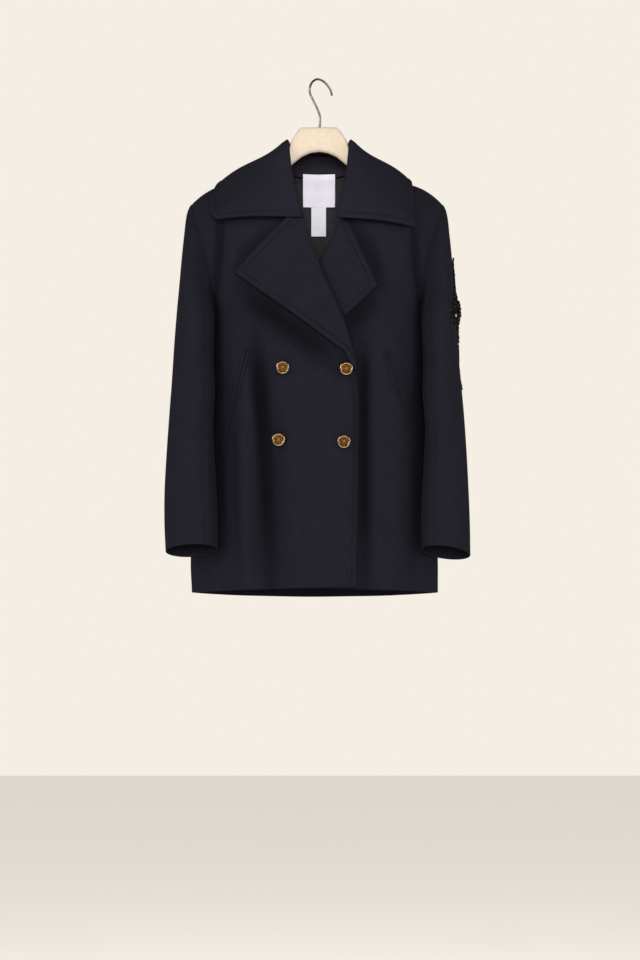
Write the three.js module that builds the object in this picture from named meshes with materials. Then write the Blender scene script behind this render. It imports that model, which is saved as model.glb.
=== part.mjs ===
// A double-breasted wool pea coat, closed, on a wooden hanger with a wire hook.
// Millimetres. The origin is inside the crown of the hook: +X to the wearer's left, -Y forward, +Z up.
// "right" and "left" are the wearer's: the right front lies over the left one.
import * as THREE from "three";

// Cloth
const GAP = 0.3;
const WOOL = 2.6;
const FRONT_EDGE = 3.6;
const DOUBLE_WOOL = 4.4;
const LINING = 0.9;
const LABEL = 0.8;

// Heights of the cut
const HEM_EDGE = -903;
const HEM_SIDE = -909;
const HEM_BACK_DROP = 5;
const BREAK = -529;
const GORGE = -255;
const UNDERARM = -419;
const SHOULDER_TIP = -225;
const NECK_POINT = -152;
const BACK_NECK = -167;
const NECK_HALF = 66;
const TIP_HALF = 226;

// Depth over which the shoulder turns from its ridge into the chest or the back
const TURN_FRONT = 100;
const TURN_BACK = 110;
const ROUNDING = 2.2;

// Rows of the body's cloth, counted from the hem
const ROWS = 24;
const UNDERARM_ROW = 11;
const BREAK_ROW = 10;
const GORGE_ROW = 18;
const FRONT_COLUMNS = 12;
const BACK_COLUMNS = 16;

// The body's sections: half widths to each side, depths before and behind, where the side seam lies,
// and how blunt the section is (1 is a lens, less is squarer).
const BODY = [
  { z: -915, right: 222, left: 208, front: 84, back: 82, seam: 16, blunt: 0.84 },
  { z: -860, right: 225, left: 208.5, front: 85, back: 82, seam: 17, blunt: 0.87 },
  { z: -820, right: 223, left: 207, front: 86, back: 81, seam: 17, blunt: 0.92 },
  { z: -760, right: 212, left: 200, front: 87, back: 80, seam: 17, blunt: 0.88 },
  { z: -700, right: 200, left: 194, front: 89, back: 80, seam: 16, blunt: 0.82 },
  { z: -640, right: 196, left: 191.5, front: 90, back: 80, seam: 13, blunt: 0.74 },
  { z: -580, right: 188.8, left: 187, front: 91, back: 81, seam: 9, blunt: 0.65 },
  { z: -520, right: 187.3, left: 186, front: 92, back: 82, seam: 5, blunt: 0.55 },
  { z: -460, right: 187, left: 184.5, front: 91, back: 82, seam: 2, blunt: 0.47 },
  { z: -419, right: 184.5, left: 182, front: 90, back: 82, seam: 0, blunt: 0.42 },
  { z: -368, right: 207, left: 202, front: 88, back: 81, seam: 0, blunt: 0.38 },
  { z: -329, right: 222, left: 214, front: 86, back: 79, seam: 0, blunt: 0.36 },
  { z: -286, right: 236, left: 228, front: 83, back: 77, seam: 0, blunt: 0.36 },
  { z: -245, right: 250, left: 241, front: 79, back: 74, seam: 0, blunt: 0.36 },
  { z: -150, right: 250, left: 241, front: 72, back: 72, seam: 0, blunt: 0.36 },
];

// The armhole's line seen from the front.
const ARMHOLE = [
  { z: -419, right: 184.5, left: 182 },
  { z: -395, right: 186, left: 182.5 },
  { z: -368, right: 190, left: 184.5 },
  { z: -329, right: 202, left: 193.5 },
  { z: -286, right: 213.5, left: 206.5 },
  { z: -245, right: 222.5, left: 216 },
  { z: -225, right: 226, left: 219 },
];

// The shoulder's ridge, and the same line carried on over the back of the neck.
const RIDGE = [
  { x: 0, front: -152, back: -112 },
  { x: 40, front: -152, back: -126 },
  { x: 66, front: -152, back: -152 },
  { x: 110, front: -170, back: -170 },
  { x: 150, front: -184, back: -184 },
  { x: 186, front: -196, back: -196 },
  { x: 207, front: -208.5, back: -208.5 },
  { x: 226, front: -225, back: -225 },
];

// The edge of each front: the closing edge, the fold of the lapel above the break, then the neckline.
const FRONT_EDGES = [
  { z: -903, right: 64.5, left: -86 },
  { z: -840, right: 65, left: -85 },
  { z: -755, right: 67.5, left: -84 },
  { z: -670, right: 69, left: -83.5 },
  { z: -584, right: 69.5, left: -83 },
  { z: -529, right: 63, left: -80 },
  { z: -507, right: 59, left: -71 },
  { z: -433, right: 34, left: -38 },
  { z: -343, right: -5.5, left: 2 },
  { z: -302, right: -20, left: 25 },
  { z: -255, right: -33, left: 45 },
  { z: -225, right: -44, left: 50 },
  { z: -190, right: -55, left: 57 },
  { z: -152, right: -66, left: 66 },
];

// Soft vertical folds: where they stand, where they begin, how wide they are and how far out they swell.
const FRONT_FOLDS = [
  { x: -160, top: -420, half: 26, swell: 3 },
  { x: -128, top: -430, half: 17, swell: 7 },
  { x: -98, top: -330, half: 17, swell: -6 },
  { x: -40, top: -540, half: 34, swell: 3 },
  { x: 92, top: -500, half: 17, swell: -3.5 },
  { x: 132, top: -480, half: 22, swell: 6 },
  { x: 172, top: -560, half: 14, swell: -3 },
];
const BACK_FOLDS = [
  { x: -150, top: -460, half: 22, swell: 5 },
  { x: -88, top: -520, half: 24, swell: -5 },
  { x: -20, top: -440, half: 30, swell: 5 },
  { x: 55, top: -500, half: 24, swell: -6 },
  { x: 118, top: -450, half: 24, swell: 6 },
];

// How far the left front lies inside the right one, below and above the break, and where it comes out.
const UNDER_LOW = 6.5;
const UNDER_HIGH = 11.5;
const UNDER_FROM = 40;
const UNDER_TO = 118;

// Lapels: the outer edge from the break (at 0) by the tip to the notch (at 1).
const LAPEL_EDGES = [
  { at: 0, rightX: 54, rightZ: -519, leftX: -68, leftZ: -519 },
  { at: 0.125, rightX: 44, rightZ: -498, leftX: -48, leftZ: -506 },
  { at: 0.25, rightX: 22, rightZ: -482, leftX: -16, leftZ: -483 },
  { at: 0.375, rightX: -14, rightZ: -456, leftX: 13, leftZ: -461 },
  { at: 0.5, rightX: -56, rightZ: -425, leftX: 39, leftZ: -440 },
  { at: 0.625, rightX: -101, rightZ: -393, leftX: 69, leftZ: -413 },
  { at: 0.75, rightX: -146, rightZ: -360, leftX: 101, leftZ: -384 },
  { at: 0.875, rightX: -101, rightZ: -313, leftX: 74, leftZ: -328 },
  { at: 1, rightX: -57, rightZ: -267, leftX: 50, leftZ: -273 },
];
const LAPEL_STAND_OFF = 8;
const LAPEL_RISE = { right: [0, 0.6], left: [0.5, 0.8] };
const LAPEL_LIFT = 1.1;
const LAPEL_STEPS = [0.08, 0.3, 0.6, 0.85, 1];

// A fold in doubled cloth: its radii and its turn.
const FOLD_OUTER = 5;
const BREAK_FOLD = 2.4;
const BREAK_THICK = 2.2;
const BREAK_TAPER = 0.3;
const FOLD_INNER = 0.4;
const FOLD_TURNS = [-30, 15, 60];

// Collar, a row for each section from the centre of the back round to the notch: the top of the fold,
// how far out, back and down the leaf's edge lies at each side, its swell, and the tilt of the fold.
const COLLAR = [
  { x: 0, y: 62, z: -114, right: 0, left: 0, back: 90, dropR: -207, dropL: -207, swell: 8, tilt: 0 },
  { x: 22, y: 60, z: -113, right: 52, left: 52, back: 88, dropR: -206, dropL: -206, swell: 8, tilt: 0 },
  { x: 42, y: 48, z: -110, right: 100, left: 98, back: 80, dropR: -202, dropL: -202, swell: 8, tilt: 0 },
  { x: 54, y: 26, z: -107.5, right: 142, left: 133, back: 61, dropR: -194, dropL: -190, swell: 5, tilt: 0 },
  { x: 58, y: 4, z: -105.5, right: 166, left: 153, back: 32, dropR: -184, dropL: -180, swell: 1, tilt: 8 },
  { x: 58, y: -14, z: -112, right: 176, left: 162, back: 0, dropR: -185, dropL: -182, swell: 1, tilt: 20 },
  { x: 56, y: -32, z: -135, right: 183, left: 164, back: -30, dropR: -199, dropL: -194, swell: 5, tilt: 37 },
  { x: 53, y: -52, z: -165, right: 187, left: 165, back: -56, dropR: -225, dropL: -226, swell: 9, tilt: 52 },
  { x: 48, y: -70, z: -194, right: 188, left: 166, back: -73, dropR: -243, dropL: -252, swell: 10, tilt: 64 },
  { x: 41, y: -85, z: -224, right: 186, left: 167, back: -82, dropR: -254, dropL: -267, swell: 10, tilt: 74 },
  { x: 34, y: -91, z: -252, right: 177, left: 166.5, back: -86, dropR: -263, dropL: -276, swell: 8, tilt: 84 },
];
// How deep the leaf dips beside its fold, row by row from the back of the neck to the notch.
const LEAF_DIP = [0, 0, 1, 2, 3, 3, 2, 1, 0, 0, 0];
const COLLAR_STEPS = [0.07, 0.25, 0.45, 0.65, 0.85, 1];
const STAND_STEPS = [0, 0.35, 0.7, 1];
const STAND_THICK = 3.6;
const STAND_REACH = 59.5;
const STAND_RAISE = 1.8;
const STAND_BOW = 1.4;
const LEAF_CLEAR = 6.4;
const LEAF_TURN = 0.5;

// Sleeves: the line on the outside and the line on the inside of the arm, and the depth of each section.
// Past the armhole the inside of each section leans forward, over the body's side.
const SLEEVE_RIGHT = [
  { outX: 226, outZ: -225, inX: 184.5, inZ: -419, mid: 0, deep: 50 },
  { outX: 246, outZ: -262, inX: 188, inZ: -426, mid: -1, deep: 60 },
  { outX: 244, outZ: -308, inX: 189.5, inZ: -438, mid: -3, deep: 69 },
  { outX: 245, outZ: -360, inX: 190, inZ: -456, mid: -6, deep: 73 },
  { outX: 249, outZ: -415, inX: 190, inZ: -488, mid: -10, deep: 72 },
  { outX: 252.5, outZ: -475, inX: 189, inZ: -530, mid: -15, deep: 68 },
  { outX: 255.5, outZ: -540, inX: 187, inZ: -578, mid: -24, deep: 61 },
  { outX: 259.5, outZ: -605, inX: 183.5, inZ: -632, mid: -33, deep: 54 },
  { outX: 263.5, outZ: -672, inX: 179.5, inZ: -690, mid: -40, deep: 49 },
  { outX: 266.5, outZ: -735, inX: 176, inZ: -745, mid: -45, deep: 45 },
  { outX: 266.5, outZ: -790, inX: 173.5, inZ: -796, mid: -49, deep: 41 },
  { outX: 264, outZ: -841.5, inX: 173.5, inZ: -837, mid: -52, deep: 38 },
];
const SLEEVE_LEFT = [
  { outX: 219, outZ: -225, inX: 182, inZ: -419, mid: 0, deep: 50 },
  { outX: 238, outZ: -262, inX: 185.5, inZ: -426, mid: -1, deep: 60 },
  { outX: 236, outZ: -308, inX: 186.5, inZ: -438, mid: -3, deep: 69 },
  { outX: 237, outZ: -360, inX: 187, inZ: -456, mid: -6, deep: 73 },
  { outX: 239, outZ: -415, inX: 187.5, inZ: -488, mid: -10, deep: 72 },
  { outX: 241, outZ: -475, inX: 188, inZ: -530, mid: -15, deep: 68 },
  { outX: 246, outZ: -540, inX: 187, inZ: -578, mid: -24, deep: 61 },
  { outX: 251, outZ: -605, inX: 184.5, inZ: -632, mid: -33, deep: 54 },
  { outX: 255, outZ: -672, inX: 181, inZ: -690, mid: -40, deep: 49 },
  { outX: 258, outZ: -735, inX: 177, inZ: -745, mid: -45, deep: 45 },
  { outX: 260, outZ: -790, inX: 175.5, inZ: -796, mid: -49, deep: 41 },
  { outX: 260.5, outZ: -848, inX: 175.5, inZ: -837, mid: -52, deep: 38 },
];
const SLEEVE_JOIN = 0.5;
const SLEEVE_LEAN = 14;
const SLEEVE_RINGS = 13;
const HALF_ROUND = ROWS - UNDERARM_ROW;
const ROUND = 2 * HALF_ROUND;
const UNDER_SLEEVE = 4;
const CUFF_DROP = 9;
const SEAM_LINE = 0.25;
const ARMHOLE_SQUARE_FROM = -340;
const ARMHOLE_SQUARE_TO = -250;

// Pockets: each a slanted pair of narrow lips.
const POCKETS = [
  { name: "right", topX: -125.5, topZ: -494, lowX: -168.5, lowZ: -676 },
  { name: "left", topX: 117, topZ: -500, lowX: 176.5, lowZ: -680 },
];
const LIP_WIDTH = 5;
const LIP_SLIT = 1.2;
const LIP_THICK = 1.6;
const LIP_STEPS = 8;

// Buttons
const BUTTON_PLACES = [
  { name: "upper_right", x: -62.2, z: -527 },
  { name: "upper_left", x: 47, z: -529 },
  { name: "lower_right", x: -69.2, z: -651 },
  { name: "lower_left", x: 42.7, z: -654.7 },
];
const BUTTON_RADIUS = 11.5;
const BUTTON_RIM = 3;
const BUTTON_THICK = 4.2;
const BUTTON_DISH = 2.6;
const BUTTON_SIDES = 18;

// Labels inside the neck
const LABEL_OFF = 4.4;
const MAIN_LABEL = { x: 0, top: -158, wide: 57, high: 57 };
const SMALL_LABEL = { x: -0.7, top: MAIN_LABEL.top - MAIN_LABEL.high - 0.5, wide: 26, high: 52 };

// Beads on the left sleeve: the stretch of the sleeve, the arc round its outside and the depth.
const BEADS = { from: 0.2, to: 0.57, front: -0.85, back: 1.2, rows: 20, columns: 9, base: 1.6, proud: 10 };
const BEAD_HEART = { at: 0.47, half: 0.21 };
const BEAD_LIFT = GAP + 0.7;

// Hanger: its top and its lower line from the middle outwards, then arms that follow the shoulders.
const HANGER_THICK = 15;
const HANGER_UNDER = 6.6;
const HANGER = [
  { x: 0, top: -85, low: -129 },
  { x: 16, top: -85, low: -131.5 },
  { x: 31, top: -85, low: -138.5 },
  { x: 36, top: -89, low: -142.5 },
  { x: 41, top: -96, low: -146.5 },
  { x: 46, top: -104, low: -150.5 },
  { x: 51, top: -113, low: -155 },
  { x: 54, top: -140, low: -160 },
  { x: 62, top: -162, low: -178 },
];
const HANGER_ARMS = [
  { x: 80, high: 35 },
  { x: 95, high: 37 },
  { x: 115, high: 36 },
  { x: 140, high: 34 },
  { x: 165, high: 31 },
  { x: 186, high: 28 },
  { x: 206, high: 23 },
];
const HANGER_ROUND = [0, 0.07, 0.25, 0.5, 0.75, 0.93, 1];
const WIRE = 1.9;
const WIRE_SIDES = 8;
const WIRE_STEPS = 34;
const HOOK_TURN = 38;
const HOOK_LINE = [
  { out: 1.5, z: HANGER[0].top + GAP },
  { out: 2.5, z: -67 },
  { out: -2.5, z: -54 },
  { out: -11, z: -41 },
  { out: -19, z: -29 },
  { out: -21, z: -19 },
  { out: -17, z: -8 },
  { out: -9, z: -0.5 },
  { out: 0, z: WIRE },
  { out: 11, z: -0.5 },
  { out: 20, z: -6.5 },
  { out: 26.5, z: -14 },
  { out: 29.5, z: -22.5 },
];

const COLOURS = {
  wool: { color: 0x222128, roughness: 0.95, metalness: 0 },
  woolInside: { color: 0x26252b, roughness: 0.95, metalness: 0 },
  lining: { color: 0x3c3c3e, roughness: 0.6, metalness: 0 },
  label: { color: 0xeceaf2, roughness: 0.7, metalness: 0 },
  rim: { color: 0xc9a050, roughness: 0.25, metalness: 1 },
  centre: { color: 0x5a3312, roughness: 0.3, metalness: 0 },
  beads: { color: 0x1c1c16, roughness: 0.2, metalness: 0.2 },
  wood: { color: 0xf3e4cb, roughness: 0.6, metalness: 0 },
  wire: { color: 0xb9b4a8, roughness: 0.3, metalness: 1 },
};

const coat = new THREE.Group();

// The value of a table's column at a place along another column, joined smoothly or straight.
function read(table, key, at, column, straight = false) {
  const rows = table[0][key] < table[table.length - 1][key] ? table : [...table].reverse();
  const last = rows.length - 1;
  const place = Math.min(Math.max(at, rows[0][key]), rows[last][key]);
  let i = 0;
  while (i < last - 1 && place > rows[i + 1][key]) i += 1;
  const span = rows[i + 1][key] - rows[i][key];
  const t = (place - rows[i][key]) / span;
  const low = rows[i][column];
  const high = rows[i + 1][column];
  if (straight) return low + (high - low) * t;
  const slope = (j) => {
    const before = rows[Math.max(j - 1, 0)];
    const after = rows[Math.min(j + 1, last)];
    return (after[column] - before[column]) / (after[key] - before[key]);
  };
  const start = slope(i) * span;
  const end = slope(i + 1) * span;
  const bend = (3 * t - 2 * t * t) * t;
  return low + (high - low) * bend + start * t * (1 - t) * (1 - t) - end * t * t * (1 - t);
}

const wearerSide = (x) => (x < 0 ? "right" : "left");
const mix = (a, b, t) => a + (b - a) * t;
const smooth = (x, low, high) => THREE.MathUtils.smoothstep(x, low, high);

function ridge(x, face) {
  const reach = read(ARMHOLE, "z", SHOULDER_TIP, wearerSide(x));
  return read(RIDGE, "x", (Math.abs(x) * TIP_HALF) / reach, face);
}

// How far the cloth has turned over the shoulder, from 0 on its ridge to 1 on the flat.
function turned(x, z, face) {
  const depth = face === "front" ? TURN_FRONT : TURN_BACK;
  const below = Math.min(Math.max(ridge(x, face) - z, 0), depth);
  return Math.sqrt(1 - (1 - below / depth) ** 2);
}

function folds(list, x, z) {
  let out = 0;
  for (const fold of list) {
    const grown = smooth(fold.top - z, 0, fold.top - HEM_SIDE);
    out += fold.swell * grown * Math.exp(-(((x - fold.x) / fold.half) ** 2));
  }
  return out;
}

// The body's outer face: how far forward (or back) the cloth lies at a place seen from the front.
function surface(x, z, face) {
  const across = Math.min(Math.abs(x) / read(BODY, "z", z, wearerSide(x)), 1);
  const seam = read(BODY, "z", z, "seam");
  const section = (1 - across ** ROUNDING) ** read(BODY, "z", z, "blunt");
  const list = face === "front" ? FRONT_FOLDS : BACK_FOLDS;
  const swell = folds(list, x, z) * (1 - across ** 4);
  const forward = face === "front" ? -1 : 1;
  const depth = read(BODY, "z", z, face) - forward * seam;
  return (seam + forward * (depth * section + swell)) * turned(x, z, face);
}

// How far inside the right front the left front lies.
function underlap(x, z) {
  const most = mix(UNDER_LOW, UNDER_HIGH, smooth(z, BREAK - 60, BREAK));
  return most * (1 - smooth(x, UNDER_FROM, UNDER_TO));
}

function leftFrontSurface(x, z) {
  return surface(x, z, "front") + underlap(x, z);
}

// A grid's outward directions. A closed grid runs round, so its last column meets its first.
function directions(grid, closed = false) {
  const rows = grid.length;
  const columns = grid[0].length;
  return grid.map((line, i) =>
    line.map((_, j) => {
      const up = grid[Math.min(i + 1, rows - 1)][j].clone().sub(grid[Math.max(i - 1, 0)][j]);
      const next = closed ? (j + 1) % columns : Math.min(j + 1, columns - 1);
      const before = closed ? (j + columns - 1) % columns : Math.max(j - 1, 0);
      return line[next].clone().sub(line[before]).cross(up).normalize();
    }),
  );
}

function moved(grid, ways, far) {
  return grid.map((line, i) =>
    line.map((point, j) => {
      const by = typeof far === "function" ? far(i, j) : far;
      return point.clone().addScaledVector(ways[i][j], by);
    }),
  );
}

function addMesh(name, geometry, finish) {
  const mesh = new THREE.Mesh(geometry, new THREE.MeshStandardMaterial(COLOURS[finish]));
  mesh.name = name;
  coat.add(mesh);
  return mesh;
}

// One piece of cloth: the closed wall between two grids of the same size.
function addWall(name, outer, inner, finish) {
  const rows = outer.length;
  const columns = outer[0].length;
  const points = [...outer.flat(), ...inner.flat()];
  const place = (i, j, face) => face * rows * columns + i * columns + j;
  const faces = [];
  const quad = (a, b, c, d) => faces.push(a, b, c, a, c, d);
  for (let i = 0; i < rows - 1; i += 1) {
    for (let j = 0; j < columns - 1; j += 1) {
      quad(place(i, j, 0), place(i, j + 1, 0), place(i + 1, j + 1, 0), place(i + 1, j, 0));
      quad(place(i, j, 1), place(i + 1, j, 1), place(i + 1, j + 1, 1), place(i, j + 1, 1));
    }
    quad(place(i, 0, 1), place(i, 0, 0), place(i + 1, 0, 0), place(i + 1, 0, 1));
    const end = columns - 1;
    quad(place(i, end, 0), place(i, end, 1), place(i + 1, end, 1), place(i + 1, end, 0));
  }
  for (let j = 0; j < columns - 1; j += 1) {
    quad(place(0, j, 1), place(0, j + 1, 1), place(0, j + 1, 0), place(0, j, 0));
    const top = rows - 1;
    quad(place(top, j, 0), place(top, j + 1, 0), place(top, j + 1, 1), place(top, j, 1));
  }
  let volume = 0;
  for (let k = 0; k < faces.length; k += 3) {
    const [a, b, c] = [points[faces[k]], points[faces[k + 1]], points[faces[k + 2]]];
    volume += a.dot(b.clone().cross(c));
  }
  if (volume < 0) faces.reverse();
  const geometry = new THREE.BufferGeometry().setFromPoints(points);
  geometry.setIndex(faces);
  geometry.computeVertexNormals();
  return addMesh(name, geometry, finish);
}

// Heights of a row of the body's cloth, at the side and at the front edge.
function sideHeight(row) {
  if (row <= UNDERARM_ROW) return mix(HEM_SIDE, UNDERARM, row / UNDERARM_ROW);
  const turn = (Math.PI * (row - UNDERARM_ROW)) / HALF_ROUND;
  return mix(UNDERARM, SHOULDER_TIP, (1 - Math.cos(turn)) / 2);
}

function edgeHeight(row) {
  if (row <= BREAK_ROW) return mix(HEM_EDGE, BREAK, row / BREAK_ROW);
  if (row <= GORGE_ROW) return mix(BREAK, GORGE, (row - BREAK_ROW) / (GORGE_ROW - BREAK_ROW));
  return mix(GORGE, NECK_POINT, (row - GORGE_ROW) / (ROWS - GORGE_ROW));
}

function sideReach(row, side) {
  const table = row <= UNDERARM_ROW ? BODY : ARMHOLE;
  return read(table, "z", sideHeight(row), side);
}

const sign = (side) => (side === "right" ? -1 : 1);

// How much a row follows the shoulder's slope.
const shoulderShare = (row) => smooth(row, UNDERARM_ROW, ROWS) ** 1.5;

// The outer face of a front, from its edge to its side seam or armhole.
function frontGrid(side) {
  const lie = side === "right" ? (x, z) => surface(x, z, "front") : leftFrontSurface;
  const grid = [];
  for (let row = 0; row <= ROWS; row += 1) {
    const edgeZ = edgeHeight(row);
    const sideZ = sideHeight(row);
    const edgeX = read(FRONT_EDGES, "z", edgeZ, side);
    const sideX = sign(side) * sideReach(row, side);
    const line = [];
    for (let k = 0; k <= FRONT_COLUMNS; k += 1) {
      const u = k / FRONT_COLUMNS;
      const eased = u + (0.45 * Math.sin(Math.PI * u)) / Math.PI;
      const x = mix(edgeX, sideX, eased);
      const sag = ridge(x, "front") - mix(NECK_POINT, SHOULDER_TIP, eased);
      const z = mix(edgeZ, sideZ, eased) + sag * shoulderShare(row);
      line.push(new THREE.Vector3(x, lie(x, z), z));
    }
    grid.push(line);
  }
  return grid;
}

function backTop(x) {
  const far = Math.abs(x);
  if (far >= NECK_HALF) return ridge(x, "back");
  return mix(BACK_NECK, NECK_POINT, 1 - Math.sqrt(1 - (far / NECK_HALF) ** 2));
}

function backGrid() {
  const grid = [];
  for (let row = 0; row <= ROWS; row += 1) {
    const line = [];
    const sideZ = sideHeight(row);
    for (let k = 0; k <= BACK_COLUMNS; k += 1) {
      const u = k / BACK_COLUMNS;
      const eased = (1 - Math.cos(Math.PI * u)) * 0.2 + u * 0.6;
      const x = mix(-sideReach(row, "right"), sideReach(row, "left"), eased);
      const drop = HEM_BACK_DROP * Math.sin(Math.PI * u) * (1 - row / ROWS) ** 2;
      const z = sideZ + (backTop(x) - SHOULDER_TIP) * shoulderShare(row) - drop;
      line.push(new THREE.Vector3(x, surface(x, z, "back"), z));
    }
    grid.push(line);
  }
  return grid;
}

// Seams: the side seam's walls meet square to it and the shoulder's stand upright, half a gap off the line.
function openSeams(grid, ways, sideColumns, face) {
  const forward = face === "front" ? -1 : 1;
  for (const { column, out } of sideColumns) {
    for (let row = 0; row <= UNDERARM_ROW; row += 1) {
      ways[row][column].set(out, 0, 0);
      grid[row][column].y += (forward * GAP) / 2 + forward * SEAM_LINE;
    }
  }
  for (let k = 0; k < grid[ROWS].length; k += 1) {
    const onShoulder = Math.abs(grid[ROWS][k].x) >= NECK_HALF - 1;
    if (onShoulder) {
      ways[ROWS][k].set(0, 0, 1);
      grid[ROWS][k].y = forward * (GAP / 2 + SEAM_LINE);
    }
  }
}

// Round the top of the armhole the body's wall and the sleeve's both lie square to the armhole's plane.
function squareToArmhole(point, way) {
  const share = smooth(point.z, ARMHOLE_SQUARE_FROM, ARMHOLE_SQUARE_TO);
  const square = new THREE.Vector3(0, point.y, point.z - (UNDERARM + SHOULDER_TIP) / 2).normalize();
  way.lerp(square, share).normalize();
}

function openArmhole(grid, ways, column) {
  for (let row = UNDERARM_ROW + 1; row <= ROWS; row += 1) {
    squareToArmhole(grid[row][column], ways[row][column]);
  }
}

const outward = (ways, forward) =>
  ways.map((line) => line.map((way) => (way.y * forward < 0 ? way.negate() : way)));

const FRONTS = {};
for (const side of ["right", "left"]) {
  const grid = frontGrid(side);
  const ways = outward(directions(grid), -1);
  openSeams(grid, ways, [{ column: FRONT_COLUMNS, out: sign(side) }], "front");
  openArmhole(grid, ways, FRONT_COLUMNS);
  const thickness = (i, j) => -mix(FRONT_EDGE, WOOL, smooth(j, 1, 4));
  addWall("front_" + side, grid, moved(grid, ways, thickness), "wool");
  FRONTS[side] = grid;
}

const back = backGrid();
const backWays = outward(directions(back), 1);
const backSides = [
  { column: 0, out: -1 },
  { column: BACK_COLUMNS, out: 1 },
];
openSeams(back, backWays, backSides, "back");
openArmhole(back, backWays, 0);
openArmhole(back, backWays, BACK_COLUMNS);
addWall("back", back, moved(back, backWays, -WOOL), "wool");

const liningCut = (grid) => grid.slice(1, ROWS + 1).map((line) => line.slice(1, BACK_COLUMNS));
const liningGrid = liningCut(back);
const liningWays = liningCut(backWays);
const liningFace = WOOL + GAP + 0.2;
const liningOuter = moved(liningGrid, liningWays, -liningFace);
const liningInner = moved(liningGrid, liningWays, -liningFace - LINING);
addWall("lining_back", liningOuter, liningInner, "lining");

// The points of a fold's round about a centre, turning from the way it faces to the way out of the cloth.
function foldRound(centre, facing, out, radius) {
  return FOLD_TURNS.map((degrees) => {
    const turn = THREE.MathUtils.degToRad(degrees);
    return centre
      .clone()
      .addScaledVector(facing, Math.cos(turn) * radius)
      .addScaledVector(out, Math.sin(turn) * radius);
  });
}

// A lapel, turned back along its front's fold and standing a little off it.
function addLapel(side) {
  const lie = side === "right" ? (x, z) => surface(x, z, "front") : leftFrontSurface;
  const front = FRONTS[side];
  const out = new THREE.Vector3(0, -1, 0);
  const outer = [];
  const inner = [];
  for (let row = BREAK_ROW; row <= GORGE_ROW; row += 1) {
    const at = (row - BREAK_ROW) / (GORGE_ROW - BREAK_ROW);
    const fold = front[row][0];
    const run = front[Math.min(row + 1, GORGE_ROW)][0].clone().sub(front[Math.max(row - 1, BREAK_ROW)][0]);
    const facing = new THREE.Vector3(run.z, 0, -run.x).normalize().multiplyScalar(-sign(side));
    const centre = fold.clone().addScaledVector(out, LAPEL_LIFT - FOLD_INNER);
    const endX = read(LAPEL_EDGES, "at", at, side + "X", true);
    const endZ = read(LAPEL_EDGES, "at", at, side + "Z", true);
    const full = smooth(at, 0, BREAK_TAPER);
    const thick = mix(BREAK_THICK, DOUBLE_WOOL, full);
    const outerLine = foldRound(centre, facing, out, mix(BREAK_FOLD, FOLD_OUTER - 0.2, full));
    const innerLine = foldRound(centre, facing, out, FOLD_INNER);
    for (const u of LAPEL_STEPS) {
      const x = mix(fold.x, endX, u);
      const z = mix(fold.z, endZ, u);
      const lift = LAPEL_LIFT + LAPEL_STAND_OFF * u ** 1.6 * smooth(at, ...LAPEL_RISE[side]);
      innerLine.push(new THREE.Vector3(x, lie(x, z) - lift, z));
      outerLine.push(new THREE.Vector3(x, lie(x, z) - lift - thick, z));
    }
    outer.push(outerLine);
    inner.push(innerLine);
  }
  addWall("lapel_" + side, outer, inner, "wool");
}
addLapel("right");
addLapel("left");

// The collar's rows from the right notch round the back to the left notch.
const collarRows = [
  ...[...COLLAR].reverse().map((row) => ({ row, side: "right" })),
  ...COLLAR.slice(1).map((row) => ({ row, side: "left" })),
];
const foldPoint = ({ row, side }) =>
  new THREE.Vector3(sign(side) * row.x, row.y, row.z);
const edgePoint = ({ row, side }) =>
  new THREE.Vector3(sign(side) * row[side], row.back, side === "right" ? row.dropR : row.dropL);

function collarFrame(index) {
  const { row } = collarRows[index];
  const tilt = THREE.MathUtils.degToRad(row.tilt);
  const out = new THREE.Vector3(0, -Math.sin(tilt), Math.cos(tilt));
  const after = foldPoint(collarRows[Math.min(index + 1, collarRows.length - 1)]);
  const run = after.sub(foldPoint(collarRows[Math.max(index - 1, 0)]));
  const facing = run.cross(out).normalize();
  const fold = foldPoint(collarRows[index]);
  const centre = fold.clone().addScaledVector(out, -FOLD_OUTER);
  return { out, facing, centre };
}

// A point of the collar's leaf, brought out where it would sink into the body's cloth.
function clearOfBody(point) {
  const face = point.y < 0 ? "front" : "back";
  if (turned(point.x, point.z, face) > LEAF_TURN) {
    const lie = surface(point.x, point.z, face);
    point.y = face === "front" ? Math.min(point.y, lie - LEAF_CLEAR) : Math.max(point.y, lie + LEAF_CLEAR);
  }
  return point;
}

function addCollarLeaf() {
  const ruled = collarRows.map((at) => {
    const fold = foldPoint(at);
    const edge = edgePoint(at);
    return COLLAR_STEPS.map((u) => fold.clone().lerp(edge, u));
  });
  const centreOut = new THREE.Vector3(0, 0, 1);
  const ways = directions(ruled).map((line) =>
    line.map((way) => (way.dot(centreOut) < 0 ? way.negate() : way)),
  );
  const swollen = (i, j) => {
    const turn = Math.PI * COLLAR_STEPS[j];
    const dip = LEAF_DIP[Math.abs(i - COLLAR.length + 1)];
    return collarRows[i].row.swell * Math.sin(turn) - dip * Math.sin(2 * turn);
  };
  const face = moved(ruled, ways, swollen).map((line) => line.map(clearOfBody));
  const faceWays = directions(face).map((line) =>
    line.map((way) => (way.dot(centreOut) < 0 ? way.negate() : way)),
  );
  const under = moved(face, faceWays, -DOUBLE_WOOL);
  const outer = [];
  const inner = [];
  for (let i = 0; i < collarRows.length; i += 1) {
    const { out, facing, centre } = collarFrame(i);
    outer.push([...foldRound(centre, facing, out, FOLD_OUTER), ...face[i]]);
    inner.push([...foldRound(centre, facing, out, FOLD_INNER), ...under[i]]);
  }
  addWall("collar_leaf", outer, inner, "wool");
}
addCollarLeaf();

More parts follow.
